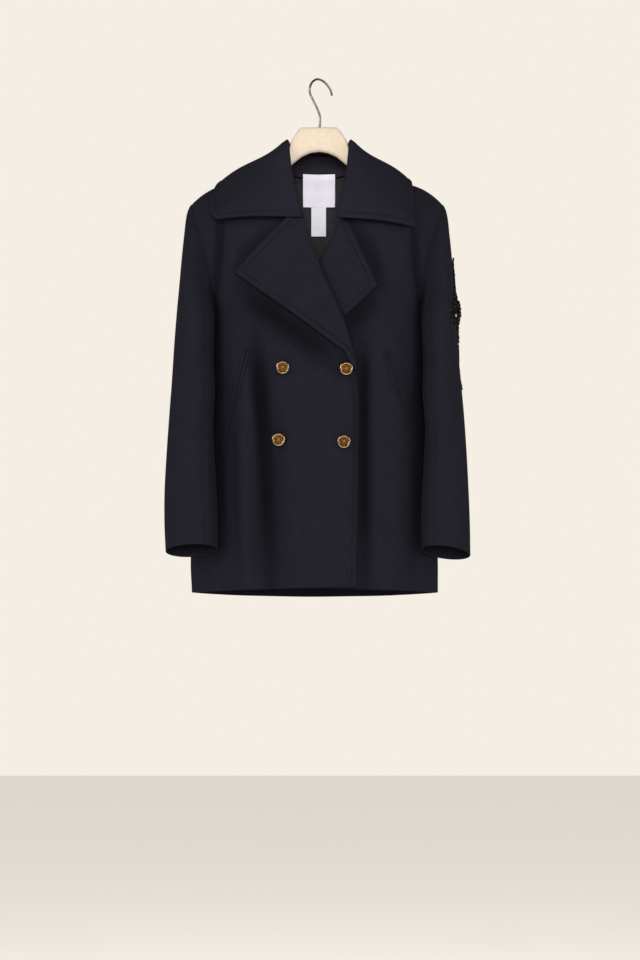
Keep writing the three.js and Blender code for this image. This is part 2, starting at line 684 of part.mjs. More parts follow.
// The neckline's place at a row of the collar, on the back or on a front's edge.
function neckPoint({ row, side }) {
  const far = sign(side) * row.x;
  if (row.y > 0) {
    const x = far * (NECK_HALF / STAND_REACH);
    const z = backTop(x);
    return new THREE.Vector3(x, surface(x, z, "back"), z);
  }
  const down = (row.z - COLLAR[5].z) / (COLLAR[COLLAR.length - 1].z - COLLAR[5].z);
  const z = mix(NECK_POINT - 1, GORGE + 2, down);
  const x = read(FRONT_EDGES, "z", z, side);
  return new THREE.Vector3(x, surface(x, z, "front"), z);
}

function addCollarStand() {
  const outer = [];
  const inner = [];
  for (let i = 2; i < collarRows.length - 2; i += 1) {
    const { out, facing, centre } = collarFrame(i);
    const foot = neckPoint(collarRows[i]).addScaledVector(facing, STAND_THICK + GAP + 0.4);
    foot.z += STAND_RAISE * out.z;
    const head = centre.clone().addScaledVector(facing, FOLD_OUTER - 0.6).addScaledVector(out, -FOLD_OUTER);
    const bow = (u) => -STAND_BOW * Math.sin(Math.PI * u);
    const face = STAND_STEPS.map((u) => foot.clone().lerp(head, u).addScaledVector(facing, bow(u)));
    inner.push(face);
    outer.push(face.map((point) => point.clone().addScaledVector(facing, -STAND_THICK)));
  }
  addWall("collar_stand", inner, outer, "woolInside");
}
addCollarStand();

// A place on a sleeve: along it from the armhole (0) to the cuff (1), and round it from under the arm.
function sleevePoint(side, along, round) {
  const table = side === "right" ? SLEEVE_RIGHT : SLEEVE_LEFT;
  const rows = table.map((row, i) => ({ ...row, i }));
  const at = along * (table.length - 1);
  const value = (column) => read(rows, "i", at, column);
  const turn = (2 * Math.PI * round) / ROUND;
  const midX = (value("outX") + value("inX")) / 2;
  const midZ = (value("outZ") + value("inZ")) / 2;
  const leaning = smooth(along, 0, 0.15) * (1 - smooth(along, 0.5, 0.8));
  const lean = SLEEVE_LEAN * leaning * Math.max(Math.cos(turn), 0) * Math.sin(turn);
  const x = midX - ((value("outX") - value("inX")) / 2) * Math.cos(turn) - lean;
  const y = value("mid") - value("deep") * Math.sin(turn);
  const tilt = CUFF_DROP * Math.sin(turn) * smooth(along, 0.5, 1);
  const z = midZ - ((value("outZ") - value("inZ")) / 2) * Math.cos(turn) + tilt;
  return new THREE.Vector3(sign(side) * x, y, z);
}

// The armhole's point at a column of the sleeve: up the front to the shoulder, then down the back.
function armholePoint(side, round) {
  const onFront = round <= HALF_ROUND;
  const row = UNDERARM_ROW + (onFront ? round : ROUND - round);
  if (onFront) return FRONTS[side][row][FRONT_COLUMNS];
  return back[row][side === "right" ? 0 : BACK_COLUMNS];
}

function sleeveGrid(side) {
  const grid = [];
  for (let ring = 0; ring <= SLEEVE_RINGS; ring += 1) {
    const along = ring / SLEEVE_RINGS;
    const line = [];
    for (let round = 0; round < ROUND; round += 1) {
      const own = sleevePoint(side, along, round);
      const seam = armholePoint(side, round).clone();
      seam.x += sign(side) * SLEEVE_JOIN;
      line.push(own.lerp(seam, 1 - smooth(along, 0, 0.3)));
    }
    grid.push(line);
  }
  return grid;
}

function addSleeve(side) {
  const grid = sleeveGrid(side);
  const centres = grid.map((line) =>
    line.reduce((sum, point) => sum.add(point), new THREE.Vector3()).divideScalar(ROUND),
  );
  const ways = directions(grid, true).map((line, i) =>
    line.map((way, j) => (way.dot(grid[i][j].clone().sub(centres[i])) < 0 ? way.negate() : way)),
  );
  grid[0].forEach((point, j) => squareToArmhole(point, ways[0][j]));
  const inside = moved(grid, ways, -WOOL);
  const cut = (source, from, to) =>
    source.map((line) => {
      const piece = [];
      for (let j = from; j <= to; j += 1) piece.push(line[(j + ROUND) % ROUND].clone());
      const count = piece.length;
      const shift = GAP / 2 + 0.05;
      const towards = (a, b) => piece[b].clone().sub(piece[a]).setLength(shift);
      piece[0].add(towards(0, 1));
      piece[count - 1].add(towards(count - 1, count - 2));
      return piece;
    });
  const top = [UNDER_SLEEVE, ROUND - UNDER_SLEEVE];
  const under = [-UNDER_SLEEVE, UNDER_SLEEVE];
  addWall("sleeve_" + side + "_top", cut(grid, ...top), cut(inside, ...top), "wool");
  addWall("sleeve_" + side + "_under", cut(grid, ...under), cut(inside, ...under), "wool");
  return { grid, ways };
}
addSleeve("right");
addSleeve("left");

// A pocket's two lips, laid on the front on either side of the slit.
function addPocket({ name, topX, topZ, lowX, lowZ }) {
  const run = new THREE.Vector2(lowX - topX, lowZ - topZ).normalize();
  const across = new THREE.Vector2(-run.y, run.x);
  for (const lip of [-1, 1]) {
    const outer = [];
    const inner = [];
    for (let step = 0; step <= LIP_STEPS; step += 1) {
      const t = step / LIP_STEPS;
      const places = [LIP_SLIT / 2, LIP_SLIT / 2 + LIP_WIDTH].map((far) => {
        const x = mix(topX, lowX, t) + across.x * far * lip;
        const z = mix(topZ, lowZ, t) + across.y * far * lip;
        const lie = name === "right" ? surface(x, z, "front") : leftFrontSurface(x, z);
        return new THREE.Vector3(x, lie - GAP - 0.25, z);
      });
      inner.push(places);
      outer.push(places.map((point) => point.clone().add(new THREE.Vector3(0, -LIP_THICK, 0))));
    }
    const which = lip * sign(name) < 0 ? "fore" : "aft";
    addWall("pocket_" + name + "_" + which, outer, inner, "wool");
  }
}
POCKETS.forEach(addPocket);

// A button: a metal rim round a dished centre, lying flat on the cloth.
function addButton({ name, x, z }) {
  const inside = BUTTON_RADIUS - BUTTON_RIM;
  const rim = [
    [inside, 0],
    [BUTTON_RADIUS - 1, 0],
    [BUTTON_RADIUS, BUTTON_THICK * 0.45],
    [BUTTON_RADIUS - BUTTON_RIM * 0.4, BUTTON_THICK],
    [inside + 0.3, BUTTON_THICK * 0.8],
    [inside, BUTTON_DISH],
    [inside, 0],
  ];
  const centre = [
    [0, 0.2],
    [inside - GAP, 0.2],
    [inside - GAP, BUTTON_DISH],
    [inside * 0.55, BUTTON_DISH - 0.8],
    [0, BUTTON_DISH - 0.8],
  ];
  const seat = Math.min(
    ...[0, 90, 180, 270].map((degrees) => {
      const turn = THREE.MathUtils.degToRad(degrees);
      return surface(x + BUTTON_RADIUS * Math.cos(turn), z + BUTTON_RADIUS * Math.sin(turn), "front");
    }),
    surface(x, z, "front"),
  );
  for (const [part, profile] of Object.entries({ rim, centre })) {
    const points = profile.map(([radius, high]) => new THREE.Vector2(radius, high));
    const mesh = addMesh("button_" + name + "_" + part, new THREE.LatheGeometry(points, BUTTON_SIDES), part);
    mesh.rotation.x = Math.PI;
    mesh.position.set(x, seat - GAP, z);
  }
}
BUTTON_PLACES.forEach(addButton);

// A label hanging flat before the lining.
function addLabel(name, { x, top, wide, high }) {
  const outer = [];
  const inner = [];
  for (let i = 0; i <= 3; i += 1) {
    const z = top - (high * i) / 3;
    const line = [-0.5, 0, 0.5].map((u) => {
      const at = new THREE.Vector3(x + wide * u, 0, z);
      at.y = surface(at.x, Math.min(z, BACK_NECK), "back") - STAND_THICK - LABEL_OFF;
      return at;
    });
    inner.push(line);
    outer.push(line.map((point) => point.clone().add(new THREE.Vector3(0, -LABEL, 0))));
  }
  addWall(name, outer, inner, "label");
}
addLabel("label_main", MAIN_LABEL);
addLabel("label_small", SMALL_LABEL);

// The beaded patch: an uneven relief over the outside and back of the left sleeve.
function addBeads() {
  const outer = [];
  const inner = [];
  const centreRound = HALF_ROUND;
  for (let i = 0; i <= BEADS.rows; i += 1) {
    const t = i / BEADS.rows;
    const along = mix(BEADS.from, BEADS.to, t);
    const body = Math.exp(-(((t - BEAD_HEART.at) / BEAD_HEART.half) ** 2));
    const waver = 0.12 * Math.sin(9 * t + 1) + 0.08 * Math.sin(23 * t);
    const width = 0.22 + 0.78 * body;
    const outerLine = [];
    const innerLine = [];
    for (let j = 0; j <= BEADS.columns; j += 1) {
      const u = j / BEADS.columns;
      const arc = mix(BEADS.front, BEADS.back, 0.5 + (u - 0.5) * width) + waver;
      const round = centreRound + (arc * ROUND) / (2 * Math.PI);
      const here = sleevePoint("left", along, round);
      const ahead = sleevePoint("left", along + 0.01, round).sub(here);
      const beside = sleevePoint("left", along, round + 0.1).sub(here);
      const way = ahead.cross(beside).normalize();
      if (way.x < 0) way.negate();
      const lump = 0.55 + 0.25 * Math.sin(11 * t + 7 * u) + 0.2 * Math.cos(19 * t - 5 * u);
      const domed = Math.sin(Math.PI * mix(0.08, 0.92, u));
      const high = BEADS.base + BEADS.proud * lump * domed * (0.25 + 0.75 * body);
      innerLine.push(here.clone().addScaledVector(way, BEAD_LIFT));
      outerLine.push(here.clone().addScaledVector(way, BEAD_LIFT + high));
    }
    outer.push(outerLine);
    inner.push(innerLine);
  }
  addWall("bead_patch", outer, inner, "beads");
}
addBeads();

// The hanger: at each place across, a rounded bar from its top down to its lower line.
function hangerHalf(side) {
  const narrow = read(ARMHOLE, "z", SHOULDER_TIP, side) / TIP_HALF;
  const middle = HANGER.map(({ x, top, low }) => ({ x: sign(side) * x, top, low }));
  const arms = HANGER_ARMS.map((arm) => {
    const x = sign(side) * arm.x * narrow;
    const top = ridge(x, "front") - HANGER_UNDER;
    return { x, top, low: top - arm.high };
  });
  return [...middle, ...arms];
}

function addHanger() {
  const sections = [...hangerHalf("right").reverse(), ...hangerHalf("left").slice(1)];
  const face = (forward) =>
    sections.map(({ x, top, low }) =>
      HANGER_ROUND.map((v) => {
        const thick = 0.3 + 0.7 * Math.sqrt(1 - Math.abs(2 * v - 1) ** 4);
        return new THREE.Vector3(x, (forward * thick * HANGER_THICK) / 2, mix(top, low, v));
      }),
    );
  addWall("hanger_body", face(-1), face(1), "wood");
}
addHanger();

function addHook() {
  const turn = THREE.MathUtils.degToRad(HOOK_TURN);
  const path = new THREE.CatmullRomCurve3(
    HOOK_LINE.map(({ out, z }) => new THREE.Vector3(out * Math.cos(turn), out * Math.sin(turn), z)),
  );
  const section = new THREE.Shape();
  section.absarc(0, 0, WIRE, 0, 2 * Math.PI);
  const geometry = new THREE.ExtrudeGeometry(section, {
    steps: WIRE_STEPS,
    curveSegments: WIRE_SIDES / 2,
    extrudePath: path,
    bevelEnabled: false,
  });
  addMesh("hanger_hook", geometry, "wire");
}
addHook();

export default coat;
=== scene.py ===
import bisect
import math
import random

import bpy
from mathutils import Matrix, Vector
from mathutils.bvhtree import BVHTree


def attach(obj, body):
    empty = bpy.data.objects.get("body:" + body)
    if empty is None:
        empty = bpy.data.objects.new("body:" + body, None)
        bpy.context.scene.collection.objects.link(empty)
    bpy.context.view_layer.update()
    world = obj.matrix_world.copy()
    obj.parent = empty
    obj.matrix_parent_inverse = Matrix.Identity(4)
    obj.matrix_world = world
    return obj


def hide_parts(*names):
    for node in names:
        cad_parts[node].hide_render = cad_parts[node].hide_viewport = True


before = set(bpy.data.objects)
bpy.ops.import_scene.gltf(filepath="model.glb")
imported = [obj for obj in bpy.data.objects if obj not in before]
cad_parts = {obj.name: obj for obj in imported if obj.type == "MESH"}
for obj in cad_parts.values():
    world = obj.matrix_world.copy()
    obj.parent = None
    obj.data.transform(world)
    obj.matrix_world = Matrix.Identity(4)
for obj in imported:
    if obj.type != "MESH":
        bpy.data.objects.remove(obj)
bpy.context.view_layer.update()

# A double-breasted wool pea coat, closed, on a wooden hanger with a wire hook. Lengths in the
# tables and functions are millimetres; meshes are made in metres.
# "right" and "left" are the wearer's: the right front lies over the left one.
MM = 0.001

# Cloth
GAP = 0.3
WOOL = 2.6
FRONT_EDGE = 3.6
DOUBLE_WOOL = 4.4
LINING = 0.9
LABEL = 0.8

# Heights of the cut
HEM_EDGE = -903
HEM_SIDE = -909
HEM_BACK_DROP = 5
BREAK = -529
GORGE = -255
UNDERARM = -419
SHOULDER_TIP = -225
NECK_POINT = -152
BACK_NECK = -167
NECK_HALF = 66
TIP_HALF = 226

TURN = {"front": 100, "back": 110}
ROUNDING = 2.2

ROWS = 24
UNDERARM_ROW = 11
BREAK_ROW = 10
GORGE_ROW = 18


def table(names, *rows):
    """A table's columns by name."""
    keys = names.split()
    return {key: [row[i] for row in rows] for i, key in enumerate(keys)}


# The body's sections: half widths to each side, depths before and behind, the side seam and bluntness
BODY = table(
    "z right left front back seam blunt",
    (-915, 222, 208, 84, 82, 16, 0.84),
    (-860, 225, 208.5, 85, 82, 17, 0.87),
    (-820, 223, 207, 86, 81, 17, 0.92),
    (-760, 212, 200, 87, 80, 17, 0.88),
    (-700, 200, 194, 89, 80, 16, 0.82),
    (-640, 196, 191.5, 90, 80, 13, 0.74),
    (-580, 188.8, 187, 91, 81, 9, 0.65),
    (-520, 187.3, 186, 92, 82, 5, 0.55),
    (-460, 187, 184.5, 91, 82, 2, 0.47),
    (-419, 184.5, 182, 90, 82, 0, 0.42),
    (-368, 207, 202, 88, 81, 0, 0.38),
    (-329, 222, 214, 86, 79, 0, 0.36),
    (-286, 236, 228, 83, 77, 0, 0.36),
    (-245, 250, 241, 79, 74, 0, 0.36),
    (-150, 250, 241, 72, 72, 0, 0.36),
)
ARMHOLE = table(
    "z right left",
    (-419, 184.5, 182),
    (-395, 186, 182.5),
    (-368, 190, 184.5),
    (-329, 202, 193.5),
    (-286, 213.5, 206.5),
    (-245, 222.5, 216),
    (-225, 226, 219),
)
RIDGE = table(
    "x front back",
    (0, -152, -112),
    (40, -152, -126),
    (66, -152, -152),
    (110, -170, -170),
    (150, -184, -184),
    (186, -196, -196),
    (207, -208.5, -208.5),
    (226, -225, -225),
)
FRONT_EDGES = table(
    "z right left",
    (-903, 64.5, -86),
    (-840, 65, -85),
    (-755, 67.5, -84),
    (-670, 69, -83.5),
    (-584, 69.5, -83),
    (-529, 63, -80),
    (-507, 59, -71),
    (-433, 34, -38),
    (-343, -5.5, 2),
    (-302, -20, 25),
    (-255, -33, 45),
    (-225, -44, 50),
    (-190, -55, 57),
    (-152, -66, 66),
)

# Folds of the source: place across, where they begin, half width and swell
FRONT_FOLDS = (
    (-160, -420, 26, 3),
    (-128, -430, 17, 7),
    (-98, -330, 17, -6),
    (-40, -540, 34, 3),
    (92, -500, 17, -3.5),
    (132, -480, 22, 6),
    (172, -560, 14, -3),
)
BACK_FOLDS = (
    (-150, -460, 22, 5),
    (-88, -520, 24, -5),
    (-20, -440, 30, 5),
    (55, -500, 24, -6),
    (118, -450, 24, 6),
)
UNDER_LOW = 6.5
UNDER_HIGH = 11.5
UNDER_FROM = 40
UNDER_TO = 118

LAPEL_EDGES = table(
    "at rightX rightZ leftX leftZ",
    (0, 54, -519, -68, -519),
    (0.125, 44, -498, -48, -506),
    (0.25, 22, -482, -16, -483),
    (0.375, -14, -456, 13, -461),
    (0.5, -56, -425, 39, -440),
    (0.625, -101, -393, 69, -413),
    (0.75, -146, -360, 101, -384),
    (0.875, -101, -313, 74, -328),
    (1, -57, -267, 50, -273),
)
LAPEL_STAND_OFF = 8
LAPEL_RISE = {"right": (0, 0.6), "left": (0.5, 0.8)}
LAPEL_LIFT = 1.1
FOLD_OUTER = 5
BREAK_FOLD = 2.4
BREAK_THICK = 2.2
BREAK_TAPER = 0.3
FOLD_INNER = 0.4

COLLAR = table(
    "i x y z right left back dropR dropL swell dip tilt",
    (0, 0, 62, -114, 0, 0, 90, -207, -207, 8, 0, 0),
    (1, 22, 60, -113, 52, 52, 88, -206, -206, 8, 0, 0),
    (2, 42, 48, -110, 100, 98, 80, -202, -202, 8, 1, 0),
    (3, 54, 26, -107.5, 142, 133, 61, -194, -190, 5, 2, 0),
    (4, 58, 4, -105.5, 166, 153, 32, -184, -180, 1, 3, 8),
    (5, 58, -14, -112, 176, 162, 0, -185, -182, 1, 3, 20),
    (6, 56, -32, -135, 183, 164, -30, -199, -194, 5, 2, 37),
    (7, 53, -52, -165, 187, 165, -56, -225, -226, 9, 1, 52),
    (8, 48, -70, -194, 188, 166, -73, -243, -252, 10, 0, 64),
    (9, 41, -85, -224, 186, 167, -82, -254, -267, 10, 0, 74),
    (10, 34, -91, -252, 177, 166.5, -86, -263, -276, 8, 0, 84),
)
COLLAR_LAST = 10
STAND_THICK = 3.6
STAND_REACH = 59.5
STAND_RAISE = 1.8
STAND_BOW = 1.4
LEAF_CLEAR = 6.4
LEAF_TURN = 0.5
LEAF_SAG = 13.0
LEAF_SAG_TIP = 4.5

SLEEVES = {
    "right": table(
        "i outX outZ inX inZ mid deep",
        (0, 226, -225, 184.5, -419, 0, 50),
        (1, 246, -262, 188, -426, -1, 60),
        (2, 244, -308, 189.5, -438, -3, 69),
        (3, 245, -360, 190, -456, -6, 73),
        (4, 249, -415, 190, -488, -10, 72),
        (5, 252.5, -475, 189, -530, -15, 68),
        (6, 255.5, -540, 187, -578, -24, 61),
        (7, 259.5, -605, 183.5, -632, -33, 54),
        (8, 263.5, -672, 179.5, -690, -40, 49),
        (9, 266.5, -735, 176, -745, -45, 45),
        (10, 266.5, -790, 173.5, -796, -49, 41),
        (11, 264, -841.5, 173.5, -837, -52, 38),
    ),
    "left": table(
        "i outX outZ inX inZ mid deep",
        (0, 219, -225, 182, -419, 0, 50),
        (1, 238, -262, 185.5, -426, -1, 60),
        (2, 236, -308, 186.5, -438, -3, 69),
        (3, 237, -360, 187, -456, -6, 73),
        (4, 239, -415, 187.5, -488, -10, 72),
        (5, 241, -475, 188, -530, -15, 68),
        (6, 246, -540, 187, -578, -24, 61),
        (7, 251, -605, 184.5, -632, -33, 54),
        (8, 255, -672, 181, -690, -40, 49),
        (9, 258, -735, 177, -745, -45, 45),
        (10, 260, -790, 175.5, -796, -49, 41),
        (11, 260.5, -848, 175.5, -837, -52, 38),
    ),
}
SLEEVE_LAST = 11
SLEEVE_JOIN = 0.5
SLEEVE_LEAN = 14
HALF_ROUND = 13
ROUND = 26
UNDER_SLEEVE = 4
CUFF_DROP = 9
SQUARE_FROM = -340
SQUARE_TO = -250

POCKETS = {"right": (-125.5, -494, -168.5, -676), "left": (117, -500, 176.5, -680)}
LIP_WIDTH = 5
LIP_SLIT = 1.2
LIP_THICK = 1.6

BUTTONS = {
    "upper_right": (-62.2, -527),
    "upper_left": (47, -529),
    "lower_right": (-69.2, -651),
    "lower_left": (42.7, -654.7),
}
BUTTON_RADIUS = 11.5
BUTTON_RIM = 3
BUTTON_THICK = 4.2
BUTTON_DISH = 2.6

LABEL_OFF = 4.4
LABELS = {"label_main": (0, -158, 57, 57), "label_small": (-0.7, -215.5, 26, 52)}

BEADS = {"from": 0.2, "to": 0.57, "front": -0.85, "back": 1.2, "base": 1.6, "proud": 10}
BEAD_HEART = (0.47, 0.24)
BEAD_LIFT = GAP + 0.7

HANGER_THICK = 15
HANGER_UNDER = 6.6
HANGER = (
    (0, -85, -129),
    (16, -85, -131.5),
    (31, -85, -138.5),
    (36, -89, -142.5),
    (41, -96, -146.5),
    (46, -104, -150.5),
    (51, -113, -155),
    (54, -140, -160),
    (62, -162, -178),
)
HANGER_ARMS = ((80, 35), (95, 37), (115, 36), (140, 34), (165, 31), (186, 28), (206, 23))
WIRE = 1.9
HOOK_TURN = 38
HOOK_LINE = (
    (1.5, -84.7),
    (2.5, -67),
    (-2.5, -54),
    (-11, -41),
    (-19, -29),
    (-21, -19),
    (-17, -8),
    (-9, -0.5),
    (0, 1.9),
    (11, -0.5),
    (20, -6.5),
    (26.5, -14),
    (29.5, -22.5),
)


# ---------------------------------------------------------------- numbers and tables
def mix(a, b, t):
    return a + (b - a) * t


def clamp(x, low=0.0, high=1.0):
    return min(max(x, low), high)


def smooth(x, low, high):
    t = clamp((x - low) / (high - low))
    return t * t * (3 - 2 * t)


def sign(side):
    return -1 if side == "right" else 1


def wearer_side(x):
    return "right" if x < 0 else "left"


SLOPES = {}


def read(source, key, at, column, straight=False):
    """The value of a table's column at a place along another column, joined smoothly or straight."""
    name = (id(source), key, column)
    if name not in SLOPES:
        keys, values = source[key], source[column]
        if keys[0] > keys[-1]:
            keys, values = keys[::-1], values[::-1]
        last = len(keys) - 1
        slopes = [
            (values[min(j + 1, last)] - values[max(j - 1, 0)])
            / (keys[min(j + 1, last)] - keys[max(j - 1, 0)])
            for j in range(last + 1)
        ]
        SLOPES[name] = (keys, values, slopes)
    keys, values, slopes = SLOPES[name]
    place = clamp(at, keys[0], keys[-1])
    i = clamp(bisect.bisect_left(keys, place) - 1, 0, len(keys) - 2)
    span = keys[i + 1] - keys[i]
    t = (place - keys[i]) / span
    low, high = values[i], values[i + 1]
    if straight:
        return low + (high - low) * t
    bend = (3 * t - 2 * t * t) * t
    start, end = slopes[i] * span, slopes[i + 1] * span
    return low + (high - low) * bend + start * t * (1 - t) ** 2 - end * t * t * (1 - t)


# ---------------------------------------------------------------- the coat's own shape
def ridge(x, face):
    reach = read(ARMHOLE, "z", SHOULDER_TIP, wearer_side(x))
    return read(RIDGE, "x", abs(x) * TIP_HALF / reach, face)


def turned(x, z, face):
    depth = TURN[face]
    below = clamp(ridge(x, face) - z, 0, depth)
    return math.sqrt(max(1 - (1 - below / depth) ** 2, 0))


def folds(rows, x, z):
    out = 0
    for place, top, half, swell in rows:
        grown = smooth(top - z, 0, top - HEM_SIDE)
        if grown:
            out += swell * grown * math.exp(-(((x - place) / half) ** 2))
    return out


def surface(x, z, face):
    """How far back the body's outer face lies at a place seen from the front."""
    across = min(abs(x) / read(BODY, "z", z, wearer_side(x)), 1)
    seam = read(BODY, "z", z, "seam")
    section = max(1 - across**ROUNDING, 0) ** read(BODY, "z", z, "blunt")
    rows = FRONT_FOLDS if face == "front" else BACK_FOLDS
    swell = folds(rows, x, z) * (1 - across**4)
    forward = -1 if face == "front" else 1
    depth = read(BODY, "z", z, face) - forward * seam
    return (seam + forward * (depth * section + swell)) * turned(x, z, face)


def underlap(x, z):
    most = mix(UNDER_LOW, UNDER_HIGH, smooth(z, BREAK - 60, BREAK))
    return most * (1 - smooth(x, UNDER_FROM, UNDER_TO))


def front_lie(side, x, z):
    lie = surface(x, z, "front")
    return lie if side == "right" else lie + underlap(x, z)


# ---------------------------------------------------------------- grids
def directions(grid, closed=False):
    rows, columns = len(grid), len(grid[0])
    ways = []
    for i in range(rows):
        line = []
        for j in range(columns):
            up = grid[min(i + 1, rows - 1)][j] - grid[max(i - 1, 0)][j]
            after = (j + 1) % columns if closed else min(j + 1, columns - 1)
            before = (j - 1) % columns if closed else max(j - 1, 0)
            line.append((grid[i][after] - grid[i][before]).cross(up).normalized())
        ways.append(line)
    return ways


def facing_way(ways, direction):
    return [[way if way.dot(direction) >= 0 else -way for way in line] for line in ways]


def moved(grid, ways, far):
    by = far if callable(far) else (lambda i, j: far)
    return [
        [point + ways[i][j] * by(i, j) for j, point in enumerate(line)]
        for i, line in enumerate(grid)
    ]


def sections(count, *knots):
    """Places from 0 to 1, evenly apart."""
    return [k / count for k in range(count + 1)]


# ---------------------------------------------------------------- meshes
def make(name, points, faces, finish, ride=True, smooth_shaded=True, second=None, marks=None):
    mesh = bpy.data.meshes.new(name)
    mesh.from_pydata([tuple(p * MM) for p in points], [], faces)
    mesh.materials.append(finish)
    if second:
        mesh.materials.append(second)
        for polygon, mark in zip(mesh.polygons, marks):
            polygon.material_index = mark
    mesh.validate()
    mesh.update()
    if smooth_shaded:
        mesh.polygons.foreach_set("use_smooth", [True] * len(mesh.polygons))
    obj = bpy.data.objects.new(name, mesh)
    bpy.context.scene.collection.objects.link(obj)
    if ride:
        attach(obj, "root")
    return obj


def rim_line(a, b, way, round_out):
    """Two points round a cloth's cut edge between its outer and inner face."""
    middle = (a + b) / 2
    return [a.lerp(middle, 0.45) + way * round_out * 0.8, b.lerp(middle, 0.45) + way * round_out * 0.8]


def wall(name, outer, inner, finish, closed=False, round_out=0.7, second=None, second_from=None):
    """A cloth's closed shell between two grids, its cut edges rounded."""
    rows, columns = len(outer), len(outer[0])
    points, faces, marks = [], [], []

    def add(point):
        points.append(point)
        return len(points) - 1

    out_ids = [[add(p) for p in line] for line in outer]
    in_ids = [[add(p) for p in line] for line in inner]
    last = columns if closed else columns - 1
    for i in range(rows - 1):
        for j in range(last):
            k = (j + 1) % columns
            faces.append((out_ids[i][j], out_ids[i][k], out_ids[i + 1][k], out_ids[i + 1][j]))
            marks.append(0)
            faces.append((in_ids[i][j], in_ids[i + 1][j], in_ids[i + 1][k], in_ids[i][k]))
            inside = second is not None and (second_from is None or second_from(i, j))
            marks.append(1 if inside else 0)

    border = []
    if closed:
        border.append([(0, j) for j in range(columns)])
        border.append([(rows - 1, j) for j in range(columns - 1, -1, -1)])
    else:
        loop = [(0, j) for j in range(columns)]
        loop += [(i, columns - 1) for i in range(1, rows)]
        loop += [(rows - 1, j) for j in range(columns - 2, -1, -1)]
        loop += [(i, 0) for i in range(rows - 2, 0, -1)]
        border.append(loop)
    for loop in border:
        rims = []
        for i, j in loop:
            di = -1 if i == 0 else (1 if i == rows - 1 else 0)
            dj = 0
            if not closed:
                dj = -1 if j == 0 else (1 if j == columns - 1 else 0)
            way = Vector()
            if di:
                way += outer[i][j] - outer[i - di][j]
            if dj:
                way += outer[i][j] - outer[i][j - dj]
            way = way.normalized()
            a, b = rim_line(outer[i][j], inner[i][j], way, round_out)
            rims.append((out_ids[i][j], add(a), add(b), in_ids[i][j]))
        count = len(rims)
        for n in range(count):
            here, after = rims[n], rims[(n + 1) % count]
            for a in range(3):
                faces.append((here[a], here[a + 1], after[a + 1], after[a]))
                marks.append(0)
    obj = make(name, points, faces, finish, second=second, marks=marks if second else None)
    outward(obj)
    return obj


def mark_painted_crease_shade(obj, rows):
    """How deep each place of a cloth lies in its creases, for the painted shade that darkens the colour there."""
    depth = obj.data.attributes.new("painted_shade", "FLOAT", "POINT")
    places = [vertex.co / MM for vertex in obj.data.vertices]
    depth.data.foreach_set("value", [clamp(-creased(rows, place.x, place.z) / 12) for place in places])


def outward(obj):
    """Turns a closed mesh's faces outward."""
    import bmesh

    bm = bmesh.new()
    bm.from_mesh(obj.data)
    bmesh.ops.recalc_face_normals(bm, faces=bm.faces)
    if bm.calc_volume(signed=True) < 0:
        bmesh.ops.reverse_faces(bm, faces=bm.faces)
    bm.to_mesh(obj.data)
    bm.free()
    obj.data.update()


# ---------------------------------------------------------------- materials
def nodes_of(name):
    material = bpy.data.materials.new(name)
    material.use_nodes = True
    tree = material.node_tree
    shader = next(n for n in tree.nodes if n.type == "BSDF_PRINCIPLED")
    return material, tree, shader


def linear(r, g, b):
    def one(c):
        c /= 255
        return c / 12.92 if c <= 0.04045 else ((c + 0.055) / 1.055) ** 2.4

    return (one(r), one(g), one(b), 1)


def node(tree, kind, **values):
    made = tree.nodes.new(kind)
    for key, value in values.items():
        if hasattr(made, key) and key not in made.inputs:
            setattr(made, key, value)
        else:
            made.inputs[key].default_value = value
    return made


def noise(tree, coordinates, scale, detail=3, rough=0.55, distortion=0.0):
    made = node(tree, "ShaderNodeTexNoise")
    made.inputs["Scale"].default_value = scale
    made.inputs["Detail"].default_value = detail
    made.inputs["Roughness"].default_value = rough
    made.inputs["Distortion"].default_value = distortion
    tree.links.new(coordinates, made.inputs["Vector"])
    return made


def ramp(tree, source, *stops):
    made = tree.nodes.new("ShaderNodeValToRGB")
    elements = made.color_ramp.elements
    while len(elements) < len(stops):
        elements.new(0.5)
    for element, (place, colour) in zip(elements, stops):
        element.position = place
        element.color = colour
    tree.links.new(source, made.inputs["Fac"])
    return made


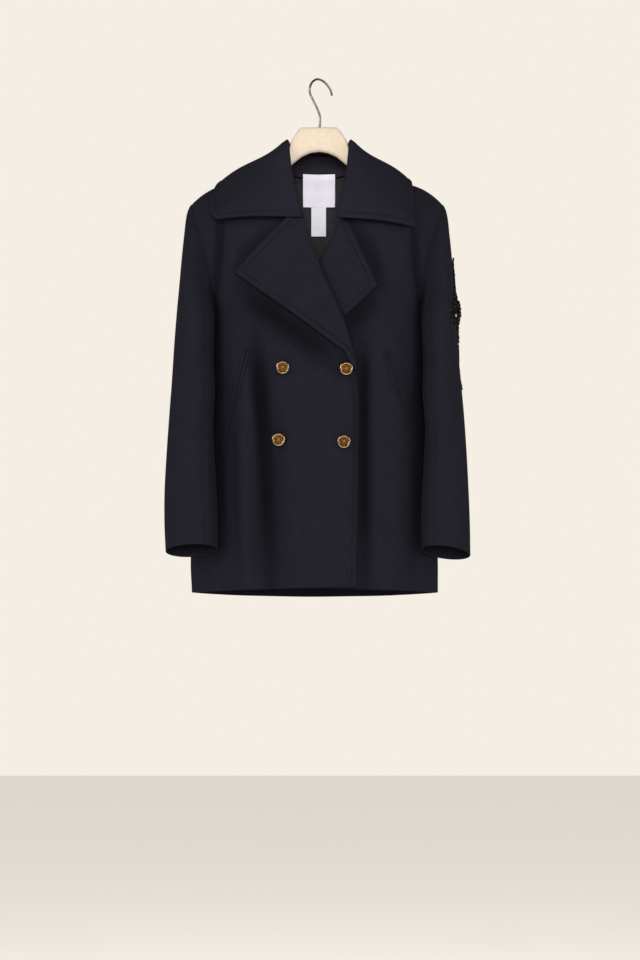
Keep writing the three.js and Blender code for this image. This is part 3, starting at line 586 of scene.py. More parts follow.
def wool_material(name, dark, pale, fuzz=0.012, relief=0.35):
    material, tree, shader = nodes_of(name)
    place = tree.nodes.new("ShaderNodeTexCoord").outputs["Object"]
    mottle = noise(tree, place, 38, 4, 0.6)
    fibre = noise(tree, place, 900, 4, 0.7, 0.6)
    nap = noise(tree, place, 260, 3, 0.6, 0.3)
    colour = ramp(tree, fibre.outputs["Fac"], (0.32, dark), (0.72, pale))
    cloud = ramp(tree, mottle.outputs["Fac"], (0.3, (0.95, 0.95, 0.95, 1)), (0.7, (1.05, 1.05, 1.05, 1)))
    blend = tree.nodes.new("ShaderNodeMix")
    blend.data_type = "RGBA"
    blend.blend_type = "MULTIPLY"
    blend.inputs[0].default_value = 1
    tree.links.new(colour.outputs["Color"], blend.inputs[6])
    tree.links.new(cloud.outputs["Color"], blend.inputs[7])
    # painted shade: the colour is darkened by ambient occlusion where another piece stands close over the cloth,
    # and by the marked crease depth where the cloth dips into a fold
    painted_shade = tree.nodes.new("ShaderNodeAmbientOcclusion")
    painted_shade.samples = 12
    painted_shade.inputs["Distance"].default_value = 0.018
    tree.links.new(blend.outputs[2], painted_shade.inputs["Color"])
    sunk = node(tree, "ShaderNodeMath", operation="POWER")
    sunk.inputs[1].default_value = 1.15
    tree.links.new(painted_shade.outputs["AO"], sunk.inputs[0])
    eased = node(tree, "ShaderNodeMath", operation="MULTIPLY_ADD")
    eased.inputs[1].default_value = 0.5
    eased.inputs[2].default_value = 0.5
    tree.links.new(sunk.outputs[0], eased.inputs[0])
    creases = node(tree, "ShaderNodeAttribute", attribute_name="painted_shade")
    kept = node(tree, "ShaderNodeMath", operation="MULTIPLY_ADD")
    kept.inputs[1].default_value = -0.6
    kept.inputs[2].default_value = 1
    tree.links.new(creases.outputs["Fac"], kept.inputs[0])
    shade = node(tree, "ShaderNodeMath", operation="MULTIPLY")
    tree.links.new(eased.outputs[0], shade.inputs[0])
    tree.links.new(kept.outputs[0], shade.inputs[1])
    deep = tree.nodes.new("ShaderNodeMix")
    deep.data_type = "RGBA"
    deep.blend_type = "MULTIPLY"
    deep.inputs[0].default_value = 1
    tree.links.new(blend.outputs[2], deep.inputs[6])
    tree.links.new(shade.outputs[0], deep.inputs[7])
    tree.links.new(deep.outputs[2], shader.inputs["Base Color"])
    shader.inputs["Roughness"].default_value = 0.92
    shader.inputs["Specular IOR Level"].default_value = 0.04
    shader.inputs["Sheen Weight"].default_value = fuzz
    shader.inputs["Sheen Roughness"].default_value = 0.4
    shader.inputs["Sheen Tint"].default_value = (0.75, 0.74, 0.82, 1)
    both = node(tree, "ShaderNodeMath", operation="ADD")
    tree.links.new(fibre.outputs["Fac"], both.inputs[0])
    tree.links.new(nap.outputs["Fac"], both.inputs[1])
    bump = tree.nodes.new("ShaderNodeBump")
    bump.inputs["Strength"].default_value = relief
    bump.inputs["Distance"].default_value = 0.0006
    tree.links.new(both.outputs[0], bump.inputs["Height"])
    tree.links.new(bump.outputs["Normal"], shader.inputs["Normal"])
    return material


def satin_material(name, dark, pale, rough=0.42, sheen=0.1, threads=1400, relief=0.12, spec=0.4):
    """A woven cloth with a soft shine, such as a lining or a label."""
    material, tree, shader = nodes_of(name)
    place = tree.nodes.new("ShaderNodeTexCoord").outputs["Object"]
    stretch = node(tree, "ShaderNodeMapping")
    stretch.inputs["Scale"].default_value = (1, 1, 0.25)
    tree.links.new(place, stretch.inputs["Vector"])
    weave = noise(tree, stretch.outputs["Vector"], threads, 2, 0.5)
    cloud = noise(tree, place, 30, 3, 0.6)
    mixed = node(tree, "ShaderNodeMath", operation="MULTIPLY_ADD")
    mixed.inputs[1].default_value = 0.5
    tree.links.new(weave.outputs["Fac"], mixed.inputs[0])
    half = node(tree, "ShaderNodeMath", operation="MULTIPLY")
    half.inputs[1].default_value = 0.5
    tree.links.new(cloud.outputs["Fac"], half.inputs[0])
    tree.links.new(half.outputs[0], mixed.inputs[2])
    colour = ramp(tree, mixed.outputs[0], (0.35, dark), (0.65, pale))
    tree.links.new(colour.outputs["Color"], shader.inputs["Base Color"])
    shader.inputs["Roughness"].default_value = rough
    shader.inputs["Specular IOR Level"].default_value = spec
    shader.inputs["Sheen Weight"].default_value = sheen
    bump = tree.nodes.new("ShaderNodeBump")
    bump.inputs["Strength"].default_value = relief
    bump.inputs["Distance"].default_value = 0.0003
    tree.links.new(weave.outputs["Fac"], bump.inputs["Height"])
    tree.links.new(bump.outputs["Normal"], shader.inputs["Normal"])
    return material


def hard_material(name, dark, pale, rough, metal=0.0, scale=300, relief=0.05, spread=(0.35, 0.65), spec=0.5):
    material, tree, shader = nodes_of(name)
    place = tree.nodes.new("ShaderNodeTexCoord").outputs["Object"]
    grain = noise(tree, place, scale, 4, 0.6)
    colour = ramp(tree, grain.outputs["Fac"], (spread[0], dark), (spread[1], pale))
    tree.links.new(colour.outputs["Color"], shader.inputs["Base Color"])
    shader.inputs["Roughness"].default_value = rough
    shader.inputs["Metallic"].default_value = metal
    shader.inputs["Specular IOR Level"].default_value = spec
    bump = tree.nodes.new("ShaderNodeBump")
    bump.inputs["Strength"].default_value = relief
    bump.inputs["Distance"].default_value = 0.0004
    tree.links.new(grain.outputs["Fac"], bump.inputs["Height"])
    tree.links.new(bump.outputs["Normal"], shader.inputs["Normal"])
    return material


WOOL_FACE = wool_material("wool_face", linear(24, 23, 29), linear(42, 40, 49))
WOOL_INSIDE = wool_material("wool_inside", linear(31, 30, 35), linear(50, 48, 55))
LINING_CLOTH = satin_material("lining_cloth", linear(34, 34, 37), linear(54, 54, 58), 0.7, 0.02, spec=0.08)
LABEL_CLOTH = satin_material("label_cloth", linear(222, 218, 228), linear(242, 238, 246), 0.6, 0.1, 1800, 0.15)
THREAD = satin_material("thread", linear(17, 17, 20), linear(30, 29, 34), 0.8, 0.0, 3000, 0.2, 0.05)
EDGE_THREAD = satin_material("edge_thread", linear(25, 24, 29), linear(42, 40, 48), 0.8, 0.0, 3000, 0.2, 0.05)
PALE_THREAD = satin_material("pale_thread", linear(176, 152, 108), linear(214, 194, 156), 0.6, 0.1, 3000, 0.2)
GOLD = hard_material("gold_rim", linear(206, 176, 132), linear(240, 218, 180), 0.2, 1.0, 160, 0.01)
AMBER = hard_material("amber_centre", linear(84, 48, 6), linear(122, 76, 18), 0.4, 0.0, 260, 0.04, spec=0.12)
BEAD = hard_material("bead_glass", linear(8, 8, 7), linear(66, 58, 32), 0.14, 0.1, 220, 0.05, (0.56, 0.8))
CREAM = hard_material("hanger_cream", linear(207, 190, 167), linear(214, 198, 176), 0.8, 0.0, 160, 0.06)
STEEL = hard_material("hook_steel", linear(150, 146, 138), linear(196, 192, 184), 0.28, 1.0, 500, 0.04)


# ---------------------------------------------------------------- creases placed one by one
# Each is a line of places (x, z), its half width, and its depth: below 0 a trough, above 0 a ridge.
FRONT_CREASES = (
    (((-171, -222), (-172, -262), (-174, -310), (-180, -352), (-186, -400)), 8, -7.5),
    (((-148, -262), (-150, -300), (-155, -345), (-163, -392)), 12, 4.0),
    (((165, -258), (167, -290), (170, -330), (176, -372), (181, -408)), 8, -7.0),
    (((144, -292), (146, -330), (152, -372)), 13, 3.6),
    (((-66, -266), (-96, -294), (-126, -322), (-150, -348)), 12, -5.0),
    (((-162, -368), (36, -520)), 25, -11.0),
    (((58, -268), (80, -308), (98, -346), (112, -380)), 13, -7.5),
    (((108, -392), (84, -416), (58, -440), (50, -470)), 20, -9.0),
    (((-116, -470), (-108, -540), (-98, -620)), 16, -3.6),
    (((-152, -470), (-146, -530), (-143, -600)), 13, 2.6),
    (((-180, -620), (-176, -690), (-170, -780)), 9, -2.2),
    (((-134, -540), (-130, -660), (-126, -780), (-122, -900)), 15, 10.5),
    (((-114, -440), (-105, -540), (-98, -640), (-93, -760), (-86, -905)), 12.5, -12.0),
    (((-80, -560), (-74, -660), (-70, -780), (-66, -905)), 20, -3.6),
    (((-40, -640), (-34, -760), (-30, -890)), 22, 3.0),
    (((20, -640), (24, -760), (28, -890)), 20, 1.6),
    (((76, -440), (77, -530), (78, -640), (79, -770), (80, -900)), 12.5, -12.0),
    (((128, -490), (138, -580), (146, -700), (152, -900)), 24, 9.0),
    (((40, -310), (70, -390), (96, -460)), 12, 1.2),
)
BACK_CREASES = (
    (((-150, -262), (-153, -310), (-160, -372)), 13, -4.0),
    (((150, -262), (153, -310), (160, -372)), 13, -4.0),
    (((-120, -300), (-108, -380), (-100, -470)), 16, -2.4),
    (((118, -300), (110, -380), (104, -470)), 16, -2.2),
    (((-60, -330), (-52, -430), (-50, -560)), 20, 1.8),
    (((62, -340), (60, -440), (66, -560)), 20, 1.6),
    (((-130, -640), (-124, -760), (-120, -900)), 15, -2.6),
    (((-28, -600), (-24, -740), (-20, -900)), 18, 2.4),
    (((52, -620), (50, -760), (48, -900)), 16, -2.8),
    (((126, -600), (130, -740), (134, -900)), 16, 2.6),
)
# On a sleeve: places (along, round) with round in turns of the grid, and half width in millimetres.
SLEEVE_CREASES = (
    (((0.12, 4.0), (0.22, 5.2), (0.34, 6.2)), 12, -3.4),
    (((0.2, 3.2), (0.32, 4.0), (0.46, 5.0)), 12, 2.2),
    (((0.34, 3.0), (0.46, 5.0), (0.56, 8.0)), 13, -2.6),
    (((0.46, 3.0), (0.55, 4.6), (0.66, 7.2)), 12, 2.0),
    (((0.6, 2.0), (0.66, 4.2), (0.72, 7.0)), 12, -1.8),
    (((0.3, 9.0), (0.5, 9.6), (0.72, 9.4), (0.94, 9.0)), 13, 2.0),
    (((0.34, 7.0), (0.56, 6.6), (0.8, 6.2), (0.97, 6.0)), 12, -1.6),
    (((0.18, 18.0), (0.34, 19.5), (0.5, 20.5)), 14, -2.8),
    (((0.4, 22.0), (0.55, 19.6), (0.7, 18.0)), 13, -2.2),
    (((0.3, 16.5), (0.55, 16.0), (0.85, 16.2)), 14, 1.8),
)


def line_distance(x, z, line):
    """How far a place is from a line, and how far along it, from 0 to 1."""
    best, share = 1e9, 0.0
    pieces = len(line) - 1
    for n in range(pieces):
        ax, az = line[n]
        bx, bz = line[n + 1]
        dx, dz = bx - ax, bz - az
        t = clamp(((x - ax) * dx + (z - az) * dz) / (dx * dx + dz * dz))
        far = math.hypot(x - ax - dx * t, z - az - dz * t)
        if far < best:
            best, share = far, (n + t) / pieces
    return best, share


def creased(rows, x, z):
    out = 0
    for line, half, deep in rows:
        low = min(p[1] for p in line) - 2.5 * half
        high = max(p[1] for p in line) + 2.5 * half
        if not low < z < high:
            continue
        far, share = line_distance(x, z, line)
        if far < 3 * half:
            ends = smooth(share, -0.02, 0.36) * (1 - 0.7 * smooth(share, 0.7, 1.02))
            out += deep * math.exp(-((far / half) ** 2)) * (0.12 + 0.88 * ends)
    return out


# ---------------------------------------------------------------- fronts and back
def side_height(row):
    if row <= UNDERARM_ROW:
        return mix(HEM_SIDE, UNDERARM, row / UNDERARM_ROW)
    turn = math.pi * (row - UNDERARM_ROW) / HALF_ROUND
    return mix(UNDERARM, SHOULDER_TIP, (1 - math.cos(turn)) / 2)


def edge_height(row):
    if row <= BREAK_ROW:
        return mix(HEM_EDGE, BREAK, row / BREAK_ROW)
    if row <= GORGE_ROW:
        return mix(BREAK, GORGE, (row - BREAK_ROW) / (GORGE_ROW - BREAK_ROW))
    return mix(GORGE, NECK_POINT, (row - GORGE_ROW) / (ROWS - GORGE_ROW))


def side_reach(row, side):
    source = BODY if row <= UNDERARM_ROW else ARMHOLE
    return read(source, "z", side_height(row), side)


def shoulder_share(row):
    return smooth(row, UNDERARM_ROW, ROWS) ** 1.5


def front_place(side, row, u):
    edge_z, side_z = edge_height(row), side_height(row)
    edge_x = read(FRONT_EDGES, "z", edge_z, side)
    side_x = sign(side) * side_reach(row, side)
    eased = u + 0.45 * math.sin(math.pi * u) / math.pi
    x = mix(edge_x, side_x, eased)
    sag = ridge(x, "front") - mix(NECK_POINT, SHOULDER_TIP, eased)
    return x, mix(edge_z, side_z, eased) + sag * shoulder_share(row)


def front_point(side, row, u):
    x, z = front_place(side, row, u)
    return Vector((x, front_lie(side, x, z), z))


def back_top(x):
    far = abs(x)
    if far >= NECK_HALF:
        return ridge(x, "back")
    return mix(BACK_NECK, NECK_POINT, 1 - math.sqrt(1 - (far / NECK_HALF) ** 2))


def back_point(row, u):
    side_z = side_height(row)
    eased = (1 - math.cos(math.pi * u)) * 0.2 + u * 0.6
    x = mix(-side_reach(row, "right"), side_reach(row, "left"), eased)
    drop = HEM_BACK_DROP * math.sin(math.pi * u) * (1 - row / ROWS) ** 2
    z = side_z + (back_top(x) - SHOULDER_TIP) * shoulder_share(row) - drop
    return Vector((x, surface(x, z, "back"), z))


def square_way(point, way):
    share = smooth(point.z, SQUARE_FROM, SQUARE_TO)
    square = Vector((0, point.y, point.z - (UNDERARM + SHOULDER_TIP) / 2)).normalized()
    return way.lerp(square, share).normalized()


FINE = 6
BODY_ROWS = [k / FINE for k in range(ROWS * FINE + 1)]
SEAM_SINK = 1.1
SEAM_HALF = 3.0


def seam_dip(far, deep=SEAM_SINK, half=SEAM_HALF):
    """The soft roll of cloth into a seam, by the distance from it."""
    return -deep * math.exp(-((far / half) ** 2))


def edge_band(far, stitch=8.5, swell=0.7, groove=0.75):
    """The raised band along a stitched edge: full at the edge, then the groove of the stitching."""
    up = swell * (1 - smooth(far, stitch - 2.5, stitch + 1.0)) * smooth(far, -0.5, 2.5)
    return up - groove * math.exp(-(((far - stitch) / 1.3) ** 2))


def spaced(total, step, close, ends=(True, True)):
    """Places from 0 to 1 about step apart, with a closer band of the given width at each stitched end."""
    places = [0.0]
    near = 1.2
    far = 0.0
    while far < total:
        edge = far if ends[0] else 1e9
        if ends[1]:
            edge = min(edge, total - far)
        far += near if edge < close else step
        places.append(min(far, total) / total)
    if places[-1] - places[-2] < 0.35 / total:
        places.pop(-2)
    places[-1] = 1.0
    return places


def front_shell(side):
    # closer together along the closing edge, for its stitched band
    columns = spaced(250, 4.2, 13, (True, False))
    rows = [k / 130 * ROWS for k in range(131)]
    rows = [0.0, 0.06, 0.14, 0.24, 0.36] + [r for r in rows if r > 0.4]
    grid = [[front_point(side, row, u) for u in columns] for row in rows]
    ways = facing_way(directions(grid), Vector((0, -1, 0)))
    last = len(columns) - 1
    for i, row in enumerate(rows):
        if row <= UNDERARM_ROW:
            ways[i][last] = Vector((sign(side), 0, 0))
            grid[i][last].y -= GAP / 2 + 0.25
        else:
            ways[i][last] = square_way(grid[i][last], ways[i][last])
    for k in range(last + 1):
        ways[-1][k] = Vector((0, 0, 1))
        grid[-1][k].y = -(GAP / 2 + 0.25)

    def relief(i, j):
        point, row = grid[i][j], rows[i]
        out = creased(FRONT_CREASES, point.x, point.z)
        out *= smooth(last - j, 0, 3.2)
        if side == "right":
            out *= smooth(j, 0, 4) * 0.7 + 0.3
        out *= 1 - smooth(row, ROWS - 4, ROWS - 1)
        far = (grid[i][j] - grid[i][0]).length
        if side == "right" and row < BREAK_ROW + 0.3:
            out += edge_band(far, 9.0, 0.35, 0.55)
        if row > 0.2:
            out += seam_dip((grid[i][j] - grid[i][last]).length, 0.9, 2.6) * (1 if j < last else 0.2)
        out += seam_dip((grid[i][j] - grid[-1][j]).length, 0.8, 2.6) * (1 if i < len(rows) - 1 else 0.2)
        return out

    outer = moved(grid, ways, relief)

    def thick(i, j):
        return -mix(FRONT_EDGE, WOOL, smooth(columns[j] * 12, 1, 4))

    inner = moved(outer, ways, thick)
    facing = 0.24

    def lined(i, j):
        return columns[j] > facing and rows[i] > 1.0

    name = "coat_front_" + side
    obj = wall(name, outer, inner, WOOL_FACE, second=LINING_CLOTH, second_from=lined)
    mark_painted_crease_shade(obj, FRONT_CREASES)
    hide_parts("front_" + side)
    return obj


def back_shell():
    columns = [k / 110 for k in range(111)]
    rows = [0.0, 0.06, 0.14, 0.24, 0.36] + [k / 130 * ROWS for k in range(131) if k / 130 * ROWS > 0.4]
    grid = [[back_point(row, u) for u in columns] for row in rows]
    ways = facing_way(directions(grid), Vector((0, 1, 0)))
    last = len(columns) - 1
    for i, row in enumerate(rows):
        for j, out in ((0, -1), (last, 1)):
            if row <= UNDERARM_ROW:
                ways[i][j] = Vector((out, 0, 0))
                grid[i][j].y += GAP / 2 + 0.25
            else:
                ways[i][j] = square_way(grid[i][j], ways[i][j])
    for k in range(last + 1):
        if abs(grid[-1][k].x) >= NECK_HALF - 1:
            ways[-1][k] = Vector((0, 0, 1))
            grid[-1][k].y = GAP / 2 + 0.25

    def relief(i, j):
        point, row = grid[i][j], rows[i]
        out = creased(BACK_CREASES, point.x, point.z)
        out *= smooth(min(j, last - j), 0, 5)
        out *= 1 - smooth(row, ROWS - 4, ROWS - 1)
        side = min((grid[i][j] - grid[i][0]).length, (grid[i][j] - grid[i][last]).length)
        out += seam_dip(side, 0.9, 2.6) * (0.2 if j in (0, last) else 1)
        out += seam_dip(abs(point.x), 1.0, 2.4)
        if abs(point.x) > NECK_HALF:
            out += seam_dip((grid[i][j] - grid[-1][j]).length, 0.8, 2.6) * (1 if i < len(rows) - 1 else 0.2)
        return out

    outer = moved(grid, ways, relief)
    inner = moved(outer, ways, -WOOL)
    obj = wall("coat_back", outer, inner, WOOL_FACE)
    mark_painted_crease_shade(obj, BACK_CREASES)
    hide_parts("back")

    # the lining, a little inside the back
    cut_rows = [i for i, row in enumerate(rows) if row >= 1]
    cut_columns = [j for j, u in enumerate(columns) if 1 / 16 <= u <= 15 / 16]
    face = WOOL + GAP + 0.2

    def pleat(x, z):
        centre = 1.4 * math.exp(-(((x - 4) / 5) ** 2)) * (1 - smooth(-z, 320, 640))
        waves = 0.35 * math.sin(x / 17 + 0.6) + 0.25 * math.sin(x / 7.5 + z / 90)
        return -centre * 0.6 - 0.15 * (1 + waves)

    def lining_face(extra):
        """The back's own face moved inwards, following its creases."""
        return [
            [grid[i][j] + ways[i][j] * (min(relief(i, j), 0) - face + extra(grid[i][j])) for j in cut_columns]
            for i in cut_rows
        ]

    lining_outer = lining_face(lambda point: 0)
    lining_inner = lining_face(lambda point: pleat(point.x, point.z) - LINING)
    lining = wall("coat_lining_back", lining_outer, lining_inner, LINING_CLOTH, round_out=0.3)
    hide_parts("lining_back")
    return obj, lining


# ---------------------------------------------------------------- lapels
def evenly(low, high, count):
    return [mix(low, high, k / count) for k in range(count + 1)]


FOLD_TURNS = (-34, -20, -5, 10, 25, 40, 55, 70)
STITCH_IN = 9.0


def lapel_shell(side):
    steps = evenly(0.05, 0.985, 64) + [0.993, 1.0]
    rows = evenly(BREAK_ROW, GORGE_ROW, 152)
    edge_line = list(zip(LAPEL_EDGES[side + "X"], LAPEL_EDGES[side + "Z"]))
    out = Vector((0, -1, 0))
    outer, inner, fars = [], [], []
    for row in rows:
        at = (row - BREAK_ROW) / (GORGE_ROW - BREAK_ROW)
        fold = front_point(side, row, 0)
        high = front_point(side, min(row + 0.5, GORGE_ROW), 0)
        low = front_point(side, max(row - 0.5, BREAK_ROW), 0)
        run = high - low
        facing = Vector((run.z, 0, -run.x)).normalized() * -sign(side)
        centre = fold + out * (LAPEL_LIFT - FOLD_INNER)
        end_x = read(LAPEL_EDGES, "at", at, side + "X", True)
        end_z = read(LAPEL_EDGES, "at", at, side + "Z", True)
        full = smooth(at, 0, BREAK_TAPER)
        thick = mix(BREAK_THICK, DOUBLE_WOOL, full)
        # the left lapel dips with the cloth that covers it
        follow = 1 - smooth(at, 0.3, 0.5) if side == "left" else 0
        centre.y -= follow * creased(FRONT_CREASES, fold.x, fold.z)
        outer_line, inner_line, far_line = [], [], []
        for degrees in FOLD_TURNS:
            turn = math.radians(degrees)
            way = facing * math.cos(turn) + out * math.sin(turn)
            outer_line.append(centre + way * mix(BREAK_FOLD, FOLD_OUTER - 0.2, full))
            inner_line.append(centre + way * FOLD_INNER)
            far_line.append(1e9)
        for u in steps:
            x, z = mix(fold.x, end_x, u), mix(fold.z, end_z, u)
            lift = LAPEL_LIFT + LAPEL_STAND_OFF * u**1.6 * smooth(at, *LAPEL_RISE[side])
            base = front_lie(side, x, z) - follow * creased(FRONT_CREASES, x, z)
            far, _ = line_distance(x, z, edge_line)
            belly = 1.6 * math.sin(math.pi * clamp(u)) * smooth(at, 0, 0.4)
            band = edge_band(far, STITCH_IN, 0.85, 0.9) * smooth(at, 0.02, 0.1)
            thin = 0.5 * smooth(3.0 - far, 0, 3.0)
            inner_line.append(Vector((x, base - lift - thin * 0.4, z)))
            outer_line.append(Vector((x, base - lift - thick - belly - band + thin, z)))
            far_line.append(far)
        outer.append(outer_line)
        inner.append(inner_line)
        fars.append(far_line)
    obj = wall("coat_lapel_" + side, outer, inner, WOOL_FACE, round_out=0.9)
    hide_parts("lapel_" + side)
    return obj, level_line(outer, fars, STITCH_IN)


def level_line(grid, values, level):
    """The places, line by line, where a value falls to a level."""
    found = []
    for points, here in zip(grid, values):
        for j in range(len(points) - 1, 0, -1):
            a, b = here[j], here[j - 1]
            if a < level <= b < 1e8:
                found.append(points[j].lerp(points[j - 1], (level - a) / (b - a)))
                break
    return found


# ---------------------------------------------------------------- collar
def collar_values(place):
    """The collar's numbers at a place from -10 (right notch) by 0 (back) to 10 (left notch)."""
    far = abs(place)
    side = "right" if place < 0 else "left"
    value = lambda column: read(COLLAR, "i", far, column)
    x = sign(side) * value("x")
    fold = Vector((x, value("y"), value("z")))
    drop = value("dropR" if side == "right" else "dropL")
    edge = Vector((sign(side) * value(side), value("back"), drop))
    return fold, edge, (value("swell"), value("dip")), value("tilt")


def collar_frame(place):
    fold, _, _, tilt = collar_values(place)
    tilt = math.radians(tilt)
    out = Vector((0, -math.sin(tilt), math.cos(tilt)))
    after = collar_values(min(place + 0.5, COLLAR_LAST))[0]
    before = collar_values(max(place - 0.5, -COLLAR_LAST))[0]
    facing = (after - before).cross(out).normalized()
    return out, facing, fold - out * FOLD_OUTER


def clear_of_body(point):
    face = "front" if point.y < 0 else "back"
    share = smooth(turned(point.x, point.z, face), LEAF_TURN - 0.12, LEAF_TURN + 0.12)
    lie = surface(point.x, point.z, face)
    if face == "front":
        wanted = min(point.y, lie - LEAF_CLEAR)
    else:
        wanted = max(point.y, lie + LEAF_CLEAR)
    point.y = mix(point.y, wanted, share)
    return point


def collar_leaf():
    places = evenly(-COLLAR_LAST, -9.4, 14)[:-1] + evenly(-9.4, 9.4, 200) + evenly(9.4, COLLAR_LAST, 14)[1:]
    steps = evenly(0.07, 0.985, 62) + [0.993, 1.0]

    def sagged(point, place, u=0.0):
        """The ends of the collar hang a little below their straight line."""
        share = smooth(abs(place), 8.4, COLLAR_LAST)
        point.z -= share * mix(LEAF_SAG, LEAF_SAG_TIP, u)
        point.y -= share * mix(3.5, 1.5, u)
        return point

    ruled, swells = [], []
    for place in places:
        fold, edge, swell, _ = collar_values(place)
        ruled.append([sagged(fold.lerp(edge, u), place, u) for u in steps])
        swells.append(swell)
    up = Vector((0, 0, 1))
    ways = facing_way(directions(ruled), up)
    face = moved(ruled, ways, lambda i, j: (
        swells[i][0] * math.sin(math.pi * steps[j]) - swells[i][1] * math.sin(2 * math.pi * steps[j])
    ))
    face = [[clear_of_body(point) for point in line] for line in face]
    face_ways = facing_way(directions(face), up)
    last = len(places) - 1

    def band(i, j):
        to_edge = (face[i][j] - face[i][-1]).length
        to_end = min((face[i][j] - face[0][j]).length, (face[i][j] - face[last][j]).length)
        return edge_band(min(to_edge, to_end), STITCH_IN, 0.75, 0.85)

    under = moved(face, face_ways, lambda i, j: -DOUBLE_WOOL)
    to_edges = [[(face[i][j] - face[i][-1]).length for j in range(len(steps))] for i in range(last + 1)]
    to_ends = [
        [min((face[i][j] - face[0][j]).length, (face[i][j] - face[last][j]).length) for j in range(len(steps))]
        for i in range(last + 1)
    ]
    face = moved(face, face_ways, band)
    level = [i for i in range(last + 1) if min(to_ends[i][-9:]) > STITCH_IN]
    edge_stitches = level_line([face[i] for i in level], [to_edges[i] for i in level], STITCH_IN)
    half = (last + 1) // 2
    end_stitches = []
    for rows in (range(half), range(last, half, -1)):
        found = []
        for j in range(len(steps)):
            if to_edges[rows[0]][j] < STITCH_IN:
                break
            line = [face[i][j] for i in rows][::-1]
            found += level_line([line], [[to_ends[i][j] for i in rows][::-1]], STITCH_IN)
        end_stitches.append(found)
    outer, inner = [], []
    for i, place in enumerate(places):
        out, facing, centre = collar_frame(place)
        centre = sagged(centre, place)
        round_out = [
            facing * math.cos(math.radians(t)) + out * math.sin(math.radians(t)) for t in FOLD_TURNS
        ]
        outer.append([centre + way * FOLD_OUTER for way in round_out] + face[i])
        inner.append([centre + way * FOLD_INNER for way in round_out] + under[i])
    obj = wall("coat_collar_leaf", outer, inner, WOOL_FACE, round_out=0.9)
    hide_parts("collar_leaf")
    return obj, [edge_stitches, *end_stitches]


def neck_point(place):
    fold, _, _, _ = collar_values(place)
    side = "right" if place < 0 else "left"
    if fold.y > 0:
        x = fold.x * (NECK_HALF / STAND_REACH)
        z = back_top(x)
        return Vector((x, surface(x, z, "back"), z))
    top, low = COLLAR["z"][5], COLLAR["z"][-1]
    z = mix(NECK_POINT - 1, GORGE + 2, (fold.z - top) / (low - top))
    x = read(FRONT_EDGES, "z", z, side)
    return Vector((x, surface(x, z, "front"), z))


def collar_stand():
    steps = [k / 12 for k in range(13)]
    places = [-8 + k / 8 for k in range(16 * 8 + 1)]
    ends = []
    for i in range(-8, 9):
        out, facing, centre = collar_frame(i)
        foot = neck_point(i) + facing * (STAND_THICK + GAP + 0.4)
        foot.z += STAND_RAISE * out.z
        head = centre + facing * (FOLD_OUTER - 0.6) - out * FOLD_OUTER
        ends.append((foot, head, facing))

    def between(place):
        k = clamp(place + 8, 0, 16)
        n = min(int(k), 15)
        t = k - n
        pick = []
        for part in range(3):
            p = [ends[int(clamp(n + d, 0, 16))][part] for d in (-1, 0, 1, 2)]
            pick.append(
                (p[1] * 2 + (p[2] - p[0]) * t + (p[0] * 2 - p[1] * 5 + p[2] * 4 - p[3]) * t * t
                 + (p[1] * 3 - p[0] - p[2] * 3 + p[3]) * t**3) * 0.5
            )
        return pick

    inner, outer = [], []
    for place in places:
        foot, head, facing = between(place)
        facing = facing.normalized()
        line = [foot.lerp(head, u) + facing * (-STAND_BOW * math.sin(math.pi * u)) for u in steps]
        inner.append(line)
        outer.append([point + facing * -STAND_THICK for point in line])
    obj = wall("coat_collar_stand", outer, inner, WOOL_INSIDE)
    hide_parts("collar_stand")
    return obj


# ---------------------------------------------------------------- sleeves
def sleeve_point(side, along, around):
    source = SLEEVES[side]
    at = along * SLEEVE_LAST
    value = lambda column: read(source, "i", at, column)
    turn = 2 * math.pi * around / ROUND
    cos, sin = math.cos(turn), math.sin(turn)
    out_x, in_x, out_z, in_z = value("outX"), value("inX"), value("outZ"), value("inZ")
    leaning = smooth(along, 0, 0.15) * (1 - smooth(along, 0.5, 0.8))
    x = (out_x + in_x) / 2 - (out_x - in_x) / 2 * cos - SLEEVE_LEAN * leaning * max(cos, 0) * sin
    y = value("mid") - value("deep") * sin
    z = (out_z + in_z) / 2 - (out_z - in_z) / 2 * cos + CUFF_DROP * sin * smooth(along, 0.5, 1)
    return Vector((sign(side) * x, y, z))


def armhole_point(side, around):
    if around <= HALF_ROUND:
        return front_point(side, UNDERARM_ROW + around, 1)
    return back_point(UNDERARM_ROW + ROUND - around, 0 if side == "right" else 1)


SLEEVE_BULGE = 4.6
SLEEVE_TUCK = 1.6


